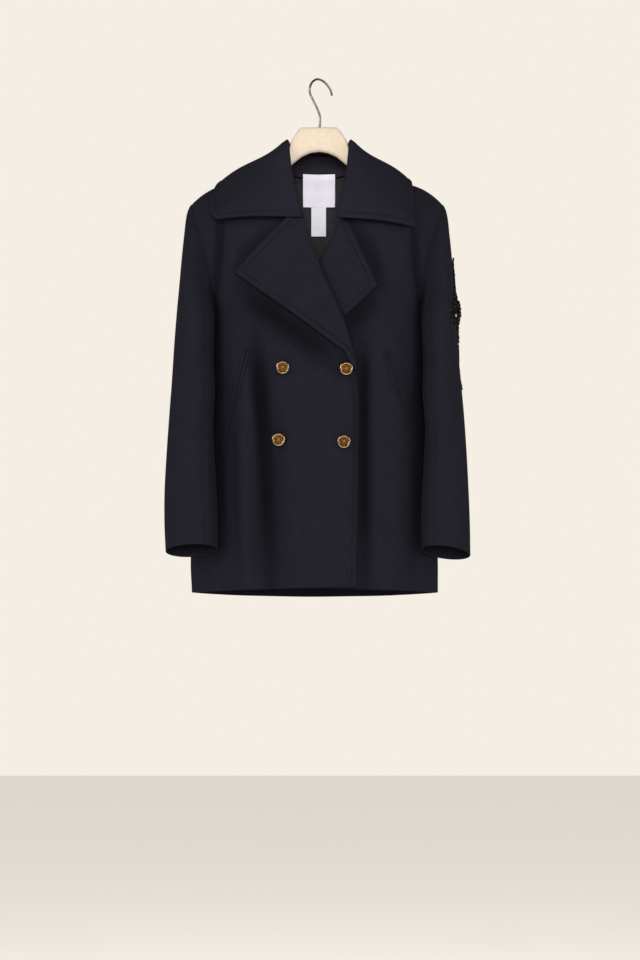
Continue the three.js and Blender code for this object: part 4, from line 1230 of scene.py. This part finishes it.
def sleeve_shell(side):
    fine = 5
    rounds = [k / fine for k in range(ROUND * fine)]
    alongs = [0.0, 0.003, 0.007, 0.012] + [k / 120 for k in range(2, 118)]
    alongs += [0.983, 0.989, 0.993, 0.997, 1.0]
    grid = []
    seams = []
    for around in rounds:
        seam = armhole_point(side, around)
        seam.x += sign(side) * SLEEVE_JOIN
        seams.append(seam)
    for along in alongs:
        share = 1 - smooth(along, 0, 0.3)
        grid.append([
            sleeve_point(side, along, around).lerp(seams[n], share) for n, around in enumerate(rounds)
        ])
    centres = [sum(line, Vector()) / len(line) for line in grid]
    ways = directions(grid, True)
    ways = [
        [way if way.dot(grid[i][j] - centres[i]) >= 0 else -way for j, way in enumerate(line)]
        for i, line in enumerate(ways)
    ]
    for j, point in enumerate(grid[0]):
        ways[0][j] = square_way(point, ways[0][j])
        point.x -= sign(side) * SLEEVE_TUCK
    seam_rounds = (UNDER_SLEEVE, ROUND - UNDER_SLEEVE)
    pitch = [
        (grid[i][0] - grid[i][len(rounds) // 2]).length * math.pi / 2 / len(rounds) * fine
        for i in range(len(alongs))
    ]
    length = 620

    def relief(i, j):
        along, around = alongs[i], rounds[j]
        out = 0
        for line, half, deep in SLEEVE_CREASES:
            low = min(p[0] for p in line) - 0.08
            high = max(p[0] for p in line) + 0.08
            if not low < along < high:
                continue
            places = [(p[1] * pitch[i], p[0] * length) for p in line]
            far, share = line_distance(around * pitch[i], along * length, places)
            if far < 3 * half:
                ends = smooth(share, -0.02, 0.3) * (1 - 0.75 * smooth(share, 0.72, 1.02))
                out += deep * math.exp(-((far / half) ** 2)) * (0.25 + 0.75 * ends)
        out *= smooth(along, 0.02, 0.12)
        beside = math.exp(-(((around + 13) % ROUND - 14.6) / 2.0) ** 2)
        out += SLEEVE_BULGE * beside * smooth(along, 0.0, 0.08) * (1 - smooth(along, 0.5, 0.68))
        for seam in seam_rounds:
            out += seam_dip((around - seam) * pitch[i], 0.9, 2.4)
        out += seam_dip(along * length, 1.0, 3.0)
        return out

    outer = moved(grid, ways, relief)
    inner = moved(outer, ways, -WOOL)
    obj = wall("coat_sleeve_" + side, outer, inner, WOOL_FACE, closed=True, round_out=0.8,
               second=LINING_CLOTH, second_from=lambda i, j: alongs[i] < 0.95)
    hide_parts("sleeve_" + side + "_top", "sleeve_" + side + "_under")
    return obj


FRONTS = {side: front_shell(side) for side in ("right", "left")}
BACK, BACK_LINING = back_shell()
LAPELS, LAPEL_STITCHES = {}, {}
for lapel_side in ("right", "left"):
    LAPELS[lapel_side], LAPEL_STITCHES[lapel_side] = lapel_shell(lapel_side)
LEAF, LEAF_STITCHES = collar_leaf()
STAND = collar_stand()
SLEEVE_SHELLS = {side: sleeve_shell(side) for side in ("right", "left")}


TOWARDS = Vector((0, -1, 0))


def front_of(*pieces):
    """How to find the place on the nearest of some pieces that is seen at (x, z) from the front."""
    trees = []
    for obj in pieces:
        mesh = obj.data
        trees.append(BVHTree.FromPolygons([v.co for v in mesh.vertices], [p.vertices for p in mesh.polygons]))

    def place(x, z, off=0.0):
        start = Vector((x, -600, z)) * MM
        hits = [tree.ray_cast(start, -TOWARDS)[0] for tree in trees]
        nearest = min((hit for hit in hits if hit), key=lambda hit: hit.y)
        return nearest / MM + TOWARDS * off

    return place


# ---------------------------------------------------------------- pockets
def pocket(name):
    top_x, top_z, low_x, low_z = POCKETS[name]
    length = math.hypot(low_x - top_x, low_z - top_z)
    run = ((low_x - top_x) / length, (low_z - top_z) / length)
    across = (-run[1], run[0])
    cloth_at = front_of(FRONTS[name])
    made = []
    for lip in (-1, 1):
        outer, inner = [], []
        count = 60
        for step in range(count + 1):
            t = step / count
            outer_line, inner_line = [], []
            for v in (0, 0.08, 0.2, 0.4, 0.6, 0.8, 0.92, 1):
                far = LIP_SLIT / 2 + LIP_WIDTH * v
                x = mix(top_x, low_x, t) + across[0] * far * lip
                z = mix(top_z, low_z, t) + across[1] * far * lip
                lie = cloth_at(x, z).y
                crown = 0.35 + 0.65 * math.sqrt(max(1 - (2 * v - 1) ** 4, 0))
                ends = 1 - 0.35 * smooth(abs(2 * t - 1), 0.96, 1.0)
                inner_line.append(Vector((x, lie - GAP * 0.5, z)))
                outer_line.append(Vector((x, lie - GAP * 0.5 - LIP_THICK * 1.15 * crown * ends, z)))
            outer.append(outer_line)
            inner.append(inner_line)
        which = "fore" if lip * sign(name) < 0 else "aft"
        obj = wall("coat_pocket_" + name + "_" + which, outer, inner, WOOL_FACE, round_out=0.35)
        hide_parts("pocket_" + name + "_" + which)
        made.append(obj)
    return made


POCKET_LIPS = {name: pocket(name) for name in POCKETS}


# ---------------------------------------------------------------- buttons
def lathe(name, profile, centre, finish, sides=64, open_ends=False):
    """A turned piece about the line towards the viewer, from points (radius, height towards the front)."""
    points, faces = [], []
    for radius, high in profile:
        for k in range(sides):
            turn = 2 * math.pi * k / sides
            points.append(centre + Vector((radius * math.cos(turn), -high, radius * math.sin(turn))))
    rings = len(profile)
    for i in range(rings if open_ends else rings - 1):
        n = (i + 1) % rings
        for k in range(sides):
            m = (k + 1) % sides
            faces.append((i * sides + k, i * sides + m, n * sides + m, n * sides + k))
    if not open_ends:
        faces.append(tuple(range(sides)))
        faces.append(tuple((rings - 1) * sides + k for k in range(sides)))
    obj = make(name, points, faces, finish)
    outward(obj)
    return obj


def strand(points, radius, sides=8):
    """Points and faces of a closed round strand along a line of points."""
    made, faces = [], []
    count = len(points)
    for n, point in enumerate(points):
        run = (points[min(n + 1, count - 1)] - points[max(n - 1, 0)]).normalized()
        helper = Vector((0, 0, 1)) if abs(run.z) < 0.8 else Vector((1, 0, 0))
        a = run.cross(helper).normalized()
        b = run.cross(a)
        size = radius(n / (count - 1)) if callable(radius) else radius
        for k in range(sides):
            turn = 2 * math.pi * k / sides
            made.append(point + (a * math.cos(turn) + b * math.sin(turn)) * size)
    for n in range(count - 1):
        for k in range(sides):
            m = (k + 1) % sides
            faces.append((n * sides + k, n * sides + m, (n + 1) * sides + m, (n + 1) * sides + k))
    faces.append(tuple(range(sides))[::-1])
    faces.append(tuple((count - 1) * sides + k for k in range(sides)))
    return made, faces


def gather(name, parts, finish):
    points, faces = [], []
    for part_points, part_faces in parts:
        start = len(points)
        points.extend(part_points)
        faces.extend(tuple(start + n for n in face) for face in part_faces)
    obj = make(name, points, faces, finish)
    return obj


def button(name):
    x, z = BUTTONS[name]
    places = [(x, z)] + [
        (x + BUTTON_RADIUS * math.cos(a), z + BUTTON_RADIUS * math.sin(a))
        for a in (0, math.pi / 2, math.pi, 3 * math.pi / 2)
    ]
    seat = min(surface(px, pz, "front") for px, pz in places)
    centre = Vector((x, seat - GAP, z))
    inside = BUTTON_RADIUS - BUTTON_RIM
    outer_edge = []
    for k in range(13):
        a = math.radians(-60 + 210 * k / 12)
        outer_edge.append((BUTTON_RADIUS - 2.0 + 2.0 * math.cos(a), 2.2 + 1.95 * math.sin(a)))
    rim_profile = [(inside + 0.2, 0.2), (BUTTON_RADIUS - 1.4, 0.2)] + outer_edge
    rim_profile += [(inside + 0.75, 3.0), (inside + 0.45, 2.5), (inside + 0.12, 2.2), (inside + 0.12, 0.6)]
    rim = lathe("coat_button_" + name + "_rim", rim_profile, centre, GOLD, open_ends=True)
    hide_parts("button_" + name + "_rim")

    dish = [(inside - 0.25, 0.25), (inside - 0.05, 0.6), (inside - 0.05, 2.1), (inside - 0.4, 2.55),
            (inside - 1.2, 2.5), (inside * 0.72, 2.1), (inside * 0.55, 1.9), (inside * 0.3, 1.85), (0.02, 1.85)]
    hub = lathe("coat_button_" + name + "_centre", dish, centre, AMBER)
    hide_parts("button_" + name + "_centre")

    holes, threads = [], []
    reach = 2.1
    corners = [(reach * sx, reach * sz) for sx, sz in ((-1, -1), (1, -1), (1, 1), (-1, 1))]
    for hx, hz in corners:
        ring = [
            centre + Vector((hx + 0.95 * math.cos(2 * math.pi * k / 14), -1.93, hz + 0.95 * math.sin(2 * math.pi * k / 14)))
            for k in range(14)
        ]
        low = [point + Vector((0, 0.25, 0)) for point in ring]
        faces = [tuple(range(14)), tuple(range(27, 13, -1))]
        faces += [(k, k + 14, (k + 1) % 14 + 14, (k + 1) % 14) for k in range(14)]
        holes.append((ring + low, faces))
    for a, b in ((0, 2), (1, 3)):
        ax, az = corners[a]
        bx, bz = corners[b]
        for shift in (-0.28, 0.28):
            line = []
            for k in range(13):
                t = k / 12
                px = mix(ax, bx, t) + shift * (1 if a == 0 else -1)
                pz = mix(az, bz, t) + shift
                up = 1.85 + 0.75 * math.sin(math.pi * t) ** 0.7 + (0.12 if a else 0)
                line.append(centre + Vector((px, -up, pz)))
            threads.append(strand(line, 0.24, 6))
    hole = gather("coat_button_" + name + "_holes", holes, WOOL_INSIDE)
    sewn = gather("coat_button_" + name + "_thread", threads, PALE_THREAD)
    return [rim, hub, hole, sewn]


BUTTON_PIECES = {name: button(name) for name in BUTTONS}


# ---------------------------------------------------------------- stitching and seam marks
STITCH = 3.4
STITCH_GAP = 1.1


def along_line(line):
    """Places along a line of points, by the distance from its start."""
    reach = [0.0]
    for a, b in zip(line, line[1:]):
        reach.append(reach[-1] + (b - a).length)

    def at(far):
        n = int(clamp(bisect.bisect_right(reach, far) - 1, 0, len(line) - 2))
        span = reach[n + 1] - reach[n]
        return line[n].lerp(line[n + 1], clamp((far - reach[n]) / span) if span else 0)

    return at, reach[-1]


def stitching(name, lines, finish, proud=0.12, radius=0.24, stitch=STITCH, gap=STITCH_GAP):
    """Rows of stitches along lines of points, each given with the way out of the cloth."""
    parts = []
    for line, way in lines:
        at, total = along_line(line)
        start = 0.8
        while start + stitch < total:
            knots = [at(start + stitch * k / 4) + way * (proud * math.sin(math.pi * k / 4)) for k in range(5)]
            knots[0] -= way * 0.35
            knots[-1] -= way * 0.35
            parts.append(strand(knots, radius, 5))
            start += stitch + gap
    obj = gather(name, parts, finish)
    return obj


def straight(place, a, b, count, off=0.0):
    return [place(mix(a[0], b[0], k / count), mix(a[1], b[1], k / count), off) for k in range(count + 1)]


def oval(place, middle, long, wide, turn_degrees, off):
    """A closed line round a worked buttonhole."""
    turn = math.radians(turn_degrees)
    run = (math.cos(turn), math.sin(turn))
    line = []
    for k in range(41):
        a = 2 * math.pi * k / 40
        far = long / 2 * math.copysign(abs(math.cos(a)) ** 0.5, math.cos(a))
        out = wide / 2 * math.copysign(abs(math.sin(a)) ** 0.8, math.sin(a))
        line.append(place(middle[0] + run[0] * far - run[1] * out, middle[1] + run[1] * far + run[0] * out, off))
    return line


def sewn(name, lines, radius, finish):
    obj = gather(name, [strand(line, radius, 6) for line in lines], finish)
    return obj


ON_RIGHT = front_of(FRONTS["right"])
ON_FRONTS = front_of(FRONTS["right"], FRONTS["left"])
ON_LAPEL = front_of(LAPELS["right"])


def closing_edge_line():
    """The stitched line beside the right front's closing edge."""
    heights = evenly(HEM_EDGE + 3, BREAK + 8, 90)
    return [ON_RIGHT(read(FRONT_EDGES, "z", z, "right") - STITCH_IN, z, 0.1) for z in heights]


LAPEL_SEWING = {
    side: stitching("coat_stitches_lapel_" + side, [(line, TOWARDS)], THREAD)
    for side, line in LAPEL_STITCHES.items()
}
LEAF_SEWING = stitching("coat_stitches_leaf", [(line, Vector((0, -0.6, 0.8))) for line in LEAF_STITCHES], THREAD)
EDGE_STITCHES = stitching("coat_stitches_closing_edge", [(closing_edge_line(), TOWARDS)], THREAD)

# Worked buttonholes: one in the right lapel, and one behind each button that closes the coat
BUTTONHOLES = [oval(ON_LAPEL, (-54, -286), 20, 1.7, 38, 0.15)]
BUTTONHOLES += [oval(ON_RIGHT, (x - 4.5, z + 3.2), 23, 1.8, -12, 0.15) for x, z in (BUTTONS["upper_left"], BUTTONS["lower_left"])]
HOLES = sewn("coat_buttonholes", BUTTONHOLES, 0.45, EDGE_THREAD)

# Bar tacks across both ends of each pocket, and the short seams that show on the body
TACKS = []
for pocket_side, (top_x, top_z, low_x, low_z) in POCKETS.items():
    turn = math.atan2(low_z - top_z, low_x - top_x)
    across = (-math.sin(turn), math.cos(turn))
    reach = LIP_WIDTH + LIP_SLIT / 2 + 0.8
    for x, z, end in ((top_x, top_z, -1), (low_x, low_z, 1)):
        x, z = x + math.cos(turn) * 1.4 * end, z + math.sin(turn) * 1.4 * end
        for step in (0, 1.0):
            px, pz = x + math.cos(turn) * step * end, z + math.sin(turn) * step * end
            TACKS.append(straight(
                ON_FRONTS, (px - across[0] * reach, pz - across[1] * reach),
                (px + across[0] * reach, pz + across[1] * reach), 12, 0.1))
TACKS.append(straight(ON_FRONTS, (68, -276), (61, -291), 10, 0.1))
TACKS.append(straight(ON_FRONTS, (-195, -856), (-190, -900), 20, 0.1))
TACKING = sewn("coat_tacks", TACKS, 0.4, EDGE_THREAD)


# ---------------------------------------------------------------- labels
def label(name):
    x, top, wide, high = LABELS[name]
    outer, inner = [], []
    rows, columns = 28, 28
    for i in range(rows + 1):
        z = top - high * i / rows
        outer_line, inner_line = [], []
        for j in range(columns + 1):
            u = j / columns - 0.5
            px = x + wide * u
            y = surface(px, min(z, BACK_NECK), "back") - STAND_THICK - LABEL_OFF
            border = min(high * i / rows, high * (1 - i / rows), wide * (u + 0.5), wide * (0.5 - u))
            hem = 0.18 * (1 - smooth(border, 1.6, 2.6))
            inner_line.append(Vector((px, y, z)))
            outer_line.append(Vector((px, y - LABEL - hem + 0.12, z)))
        outer.append(outer_line)
        inner.append(inner_line)
    obj = wall("coat_" + name, outer, inner, LABEL_CLOTH, round_out=0.25)
    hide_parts(name)
    return obj


LABEL_PIECES = {name: label(name) for name in LABELS}


# ---------------------------------------------------------------- beads
def ball(centre, radius, way, flat=1.0, rings=6, sides=9):
    """Points and faces of a small bead, flattened along its way."""
    helper = Vector((0, 0, 1)) if abs(way.z) < 0.8 else Vector((1, 0, 0))
    a = way.cross(helper).normalized()
    b = way.cross(a)
    points = [centre + way * radius * flat]
    for i in range(1, rings):
        turn = math.pi * i / rings
        for k in range(sides):
            spin = 2 * math.pi * k / sides
            points.append(
                centre
                + way * (radius * flat * math.cos(turn))
                + (a * math.cos(spin) + b * math.sin(spin)) * (radius * math.sin(turn))
            )
    points.append(centre - way * radius * flat)
    faces = [(0, 1 + k, 1 + (k + 1) % sides) for k in range(sides)]
    for i in range(rings - 2):
        for k in range(sides):
            m = (k + 1) % sides
            faces.append((1 + i * sides + k, 1 + (i + 1) * sides + k, 1 + (i + 1) * sides + m, 1 + i * sides + m))
    end = len(points) - 1
    start = 1 + (rings - 2) * sides
    faces += [(start + k, end, start + (k + 1) % sides) for k in range(sides)]
    return points, faces


def bead_frame(t, u):
    """A place of the beaded patch: the point on the sleeve, the way out, and how high the patch stands."""
    along = mix(BEADS["from"], BEADS["to"], t)
    body = math.exp(-(((t - BEAD_HEART[0]) / BEAD_HEART[1]) ** 2))
    waver = 0.12 * math.sin(9 * t + 1) + 0.08 * math.sin(23 * t)
    width = 0.22 + 0.78 * body
    arc = mix(BEADS["front"], BEADS["back"], 0.5 + (u - 0.5) * width) + waver
    around = HALF_ROUND + arc * ROUND / (2 * math.pi)
    here = sleeve_point("left", along, around)
    ahead = sleeve_point("left", along + 0.01, around) - here
    beside = sleeve_point("left", along, around + 0.1) - here
    way = ahead.cross(beside).normalized()
    if way.x < 0:
        way = -way
    lump = 0.55 + 0.25 * math.sin(11 * t + 7 * u) + 0.2 * math.cos(19 * t - 5 * u)
    domed = math.sin(math.pi * mix(0.08, 0.92, u))
    return here, way, BEADS["base"] + BEADS["proud"] * lump * domed * (0.25 + 0.75 * body), body


def beads():
    chance = random.Random(7)
    parts = []
    for _ in range(2300):
        t, u = chance.random(), chance.random()
        body = math.exp(-(((t - BEAD_HEART[0]) / BEAD_HEART[1]) ** 2))
        if chance.random() > 0.3 + 0.9 * body:
            continue
        here, way, high, body = bead_frame(t, u)
        size = mix(1.1, 2.5, chance.random()) * (0.75 + 0.35 * body)
        lift = BEAD_LIFT + max(high - size * 1.2, 0.3) * mix(0.12, 1.0, chance.random() ** 0.6)
        tip = Vector((chance.uniform(-1, 1), chance.uniform(-1, 1), chance.uniform(-1, 1))) * 0.35
        parts.append(ball(here + way * lift, size, (way + tip).normalized(), mix(0.65, 1.0, chance.random())))
    obj = gather("coat_beads", parts, BEAD)
    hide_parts("bead_patch")
    return obj


BEAD_PIECE = beads()


# ---------------------------------------------------------------- hanger and hook
def hanger():
    narrow = {side: read(ARMHOLE, "z", SHOULDER_TIP, side) / TIP_HALF for side in ("right", "left")}

    def half(side):
        line = [(sign(side) * x, top, low) for x, top, low in HANGER]
        for x, high in HANGER_ARMS:
            px = sign(side) * x * narrow[side]
            top = ridge(px, "front") - HANGER_UNDER
            line.append((px, top, top - high))
        return line

    knots = half("right")[::-1] + half("left")[1:]
    source = {
        "x": [k[0] for k in knots],
        "top": [k[1] for k in knots],
        "low": [k[2] for k in knots],
    }
    count = 260
    first, last = source["x"][0], source["x"][-1]
    xs = [mix(first, last, k / count) for k in range(count + 1)]
    turns = [k / 24 for k in range(25)]
    faces = {-1: [], 1: []}
    for x in xs:
        top = read(source, "x", x, "top", True)
        low = read(source, "x", x, "low", True)
        end = min(x - first, last - x)
        shrink = math.sqrt(clamp(1 - (1 - clamp(end / 5)) ** 2, 0.02, 1))
        for forward in (-1, 1):
            line = []
            for v in turns:
                eased = (1 - math.cos(math.pi * v)) / 2
                thick = math.sqrt(max(1 - abs(2 * eased - 1) ** 4, 0.02)) * shrink
                z = mix(top, low, eased)
                line.append(Vector((x, forward * thick * HANGER_THICK / 2, z)))
            faces[forward].append(line)
    obj = wall("coat_hanger", faces[-1], faces[1], CREAM, round_out=0.05)
    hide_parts("hanger_body")
    return obj


def hook():
    turn = math.radians(HOOK_TURN)
    knots = [Vector((out * math.cos(turn), out * math.sin(turn), z)) for out, z in HOOK_LINE]
    line = []
    last = len(knots) - 1
    for n in range(last):
        p = [knots[int(clamp(n + d, 0, last))] for d in (-1, 0, 1, 2)]
        for k in range(8):
            t = k / 8
            line.append(
                (p[1] * 2 + (p[2] - p[0]) * t + (p[0] * 2 - p[1] * 5 + p[2] * 4 - p[3]) * t * t
                 + (p[1] * 3 - p[0] - p[2] * 3 + p[3]) * t**3) * 0.5
            )
    line.append(knots[last])
    obj = gather("coat_hook", [strand(line, WIRE, 20)], STEEL)
    outward(obj)
    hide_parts("hanger_hook")
    return obj


HANGER_PIECE = hanger()
HOOK_PIECE = hook()


# ---------------------------------------------------------------- cloth area
def half_area(obj):
    return sum(p.area for p in obj.data.polygons) / 2


# ---------------------------------------------------------------- stage, light and camera
FLOOR = -1.9


def stage():
    size = 14
    mesh = bpy.data.meshes.new("studio_floor")
    mesh.from_pydata(
        [(-size, -size, FLOOR), (size, -size, FLOOR), (size, size, FLOOR), (-size, size, FLOOR)], [], [(0, 1, 2, 3)]
    )
    material, tree, shader = nodes_of("studio_paper")
    place = tree.nodes.new("ShaderNodeTexCoord").outputs["Object"]
    grain = noise(tree, place, 3, 2, 0.5)
    colour = ramp(tree, grain.outputs["Fac"], (0.3, linear(243, 243, 243)), (0.7, linear(246, 246, 246)))
    tree.links.new(colour.outputs["Color"], shader.inputs["Base Color"])
    shader.inputs["Roughness"].default_value = 0.9
    shader.inputs["Specular IOR Level"].default_value = 0.1
    shader.inputs["Emission Color"].default_value = linear(248, 241, 231)
    seen = tree.nodes.new("ShaderNodeLightPath").outputs["Is Camera Ray"]
    glow = node(tree, "ShaderNodeMath", operation="MULTIPLY")
    glow.inputs[1].default_value = 0.62
    tree.links.new(seen, glow.inputs[0])
    tree.links.new(glow.outputs[0], shader.inputs["Emission Strength"])
    mesh.materials.append(material)
    floor = bpy.data.objects.new("studio_floor", mesh)
    bpy.context.scene.collection.objects.link(floor)


def area_light(name, place, target, wide, high, power, colour=(1, 1, 1), mirrored=True):
    data = bpy.data.lights.new(name, "AREA")
    data.shape = "RECTANGLE"
    data.size, data.size_y = wide, high
    data.energy = power
    data.color = colour
    obj = bpy.data.objects.new(name, data)
    obj.location = place
    obj.rotation_euler = (Vector(target) - Vector(place)).to_track_quat("-Z", "Y").to_euler()
    obj.visible_glossy = mirrored
    bpy.context.scene.collection.objects.link(obj)
    return obj


stage()
CENTRE = (0, 0, -0.5)
area_light("key", (-2.8, -2.7, 1.0), CENTRE, 1.8, 2.2, 46, (1, 0.99, 0.975))
area_light("opposite", (2.9, -2.6, 0.4), CENTRE, 1.8, 2.2, 30, (0.985, 0.985, 1))
area_light("front", (0.05, -4.6, -0.2), CENTRE, 1.3, 1.3, 118, mirrored=False)
area_light("side_left", (-2.7, 0.7, -0.3), CENTRE, 0.8, 2.0, 26, (1, 0.93, 0.84), mirrored=False)
area_light("side_right", (2.7, 0.7, -0.3), CENTRE, 0.8, 2.0, 26, (1, 0.93, 0.84), mirrored=False)


def neck_spot():
    """A narrow light into the neck, for its lining and label."""
    data = bpy.data.lights.new("neck", "SPOT")
    data.energy = 250
    data.spot_size = math.radians(4.8)
    data.spot_blend = 0.9
    data.shadow_soft_size = 0.12
    obj = bpy.data.objects.new("neck", data)
    obj.location = (-0.3, -3.2, 0.55)
    aim = Vector((0, 0.05, -0.175)) - obj.location
    obj.rotation_euler = aim.to_track_quat("-Z", "Y").to_euler()
    bpy.context.scene.collection.objects.link(obj)


neck_spot()


def studio_world():
    """A pale room: what is seen of it is brighter than what it gives as light."""
    world = bpy.data.worlds.new("studio")
    world.use_nodes = True
    tree = world.node_tree
    seen = tree.nodes["Background"]
    seen.inputs["Color"].default_value = linear(248, 241, 231)
    seen.inputs["Strength"].default_value = 0.97
    given = tree.nodes.new("ShaderNodeBackground")
    given.inputs["Color"].default_value = linear(246, 242, 238)
    path = tree.nodes.new("ShaderNodeLightPath")
    mirrored = node(tree, "ShaderNodeMath", operation="MULTIPLY_ADD")
    mirrored.inputs[1].default_value = -0.13
    mirrored.inputs[2].default_value = 0.16
    tree.links.new(path.outputs["Is Glossy Ray"], mirrored.inputs[0])
    tree.links.new(mirrored.outputs[0], given.inputs["Strength"])
    choose = tree.nodes.new("ShaderNodeMixShader")
    tree.links.new(path.outputs["Is Camera Ray"], choose.inputs["Fac"])
    tree.links.new(given.outputs[0], choose.inputs[1])
    tree.links.new(seen.outputs[0], choose.inputs[2])
    tree.links.new(choose.outputs[0], tree.nodes["World Output"].inputs["Surface"])
    bpy.context.scene.world = world


studio_world()
bpy.context.scene.view_settings.view_transform = "Standard"

camera_data = bpy.data.cameras.new("camera")
camera_data.sensor_width = 36
camera_data.lens = 81.43
camera = bpy.data.objects.new("camera", camera_data)
camera.location = (0.00175, -3.7855, -1.0444)
camera.rotation_euler = (math.radians(95), 0, 0)
bpy.context.scene.collection.objects.link(camera)
bpy.context.scene.camera = camera


for pocket_side, lips in POCKET_LIPS.items():
    for lip in lips:
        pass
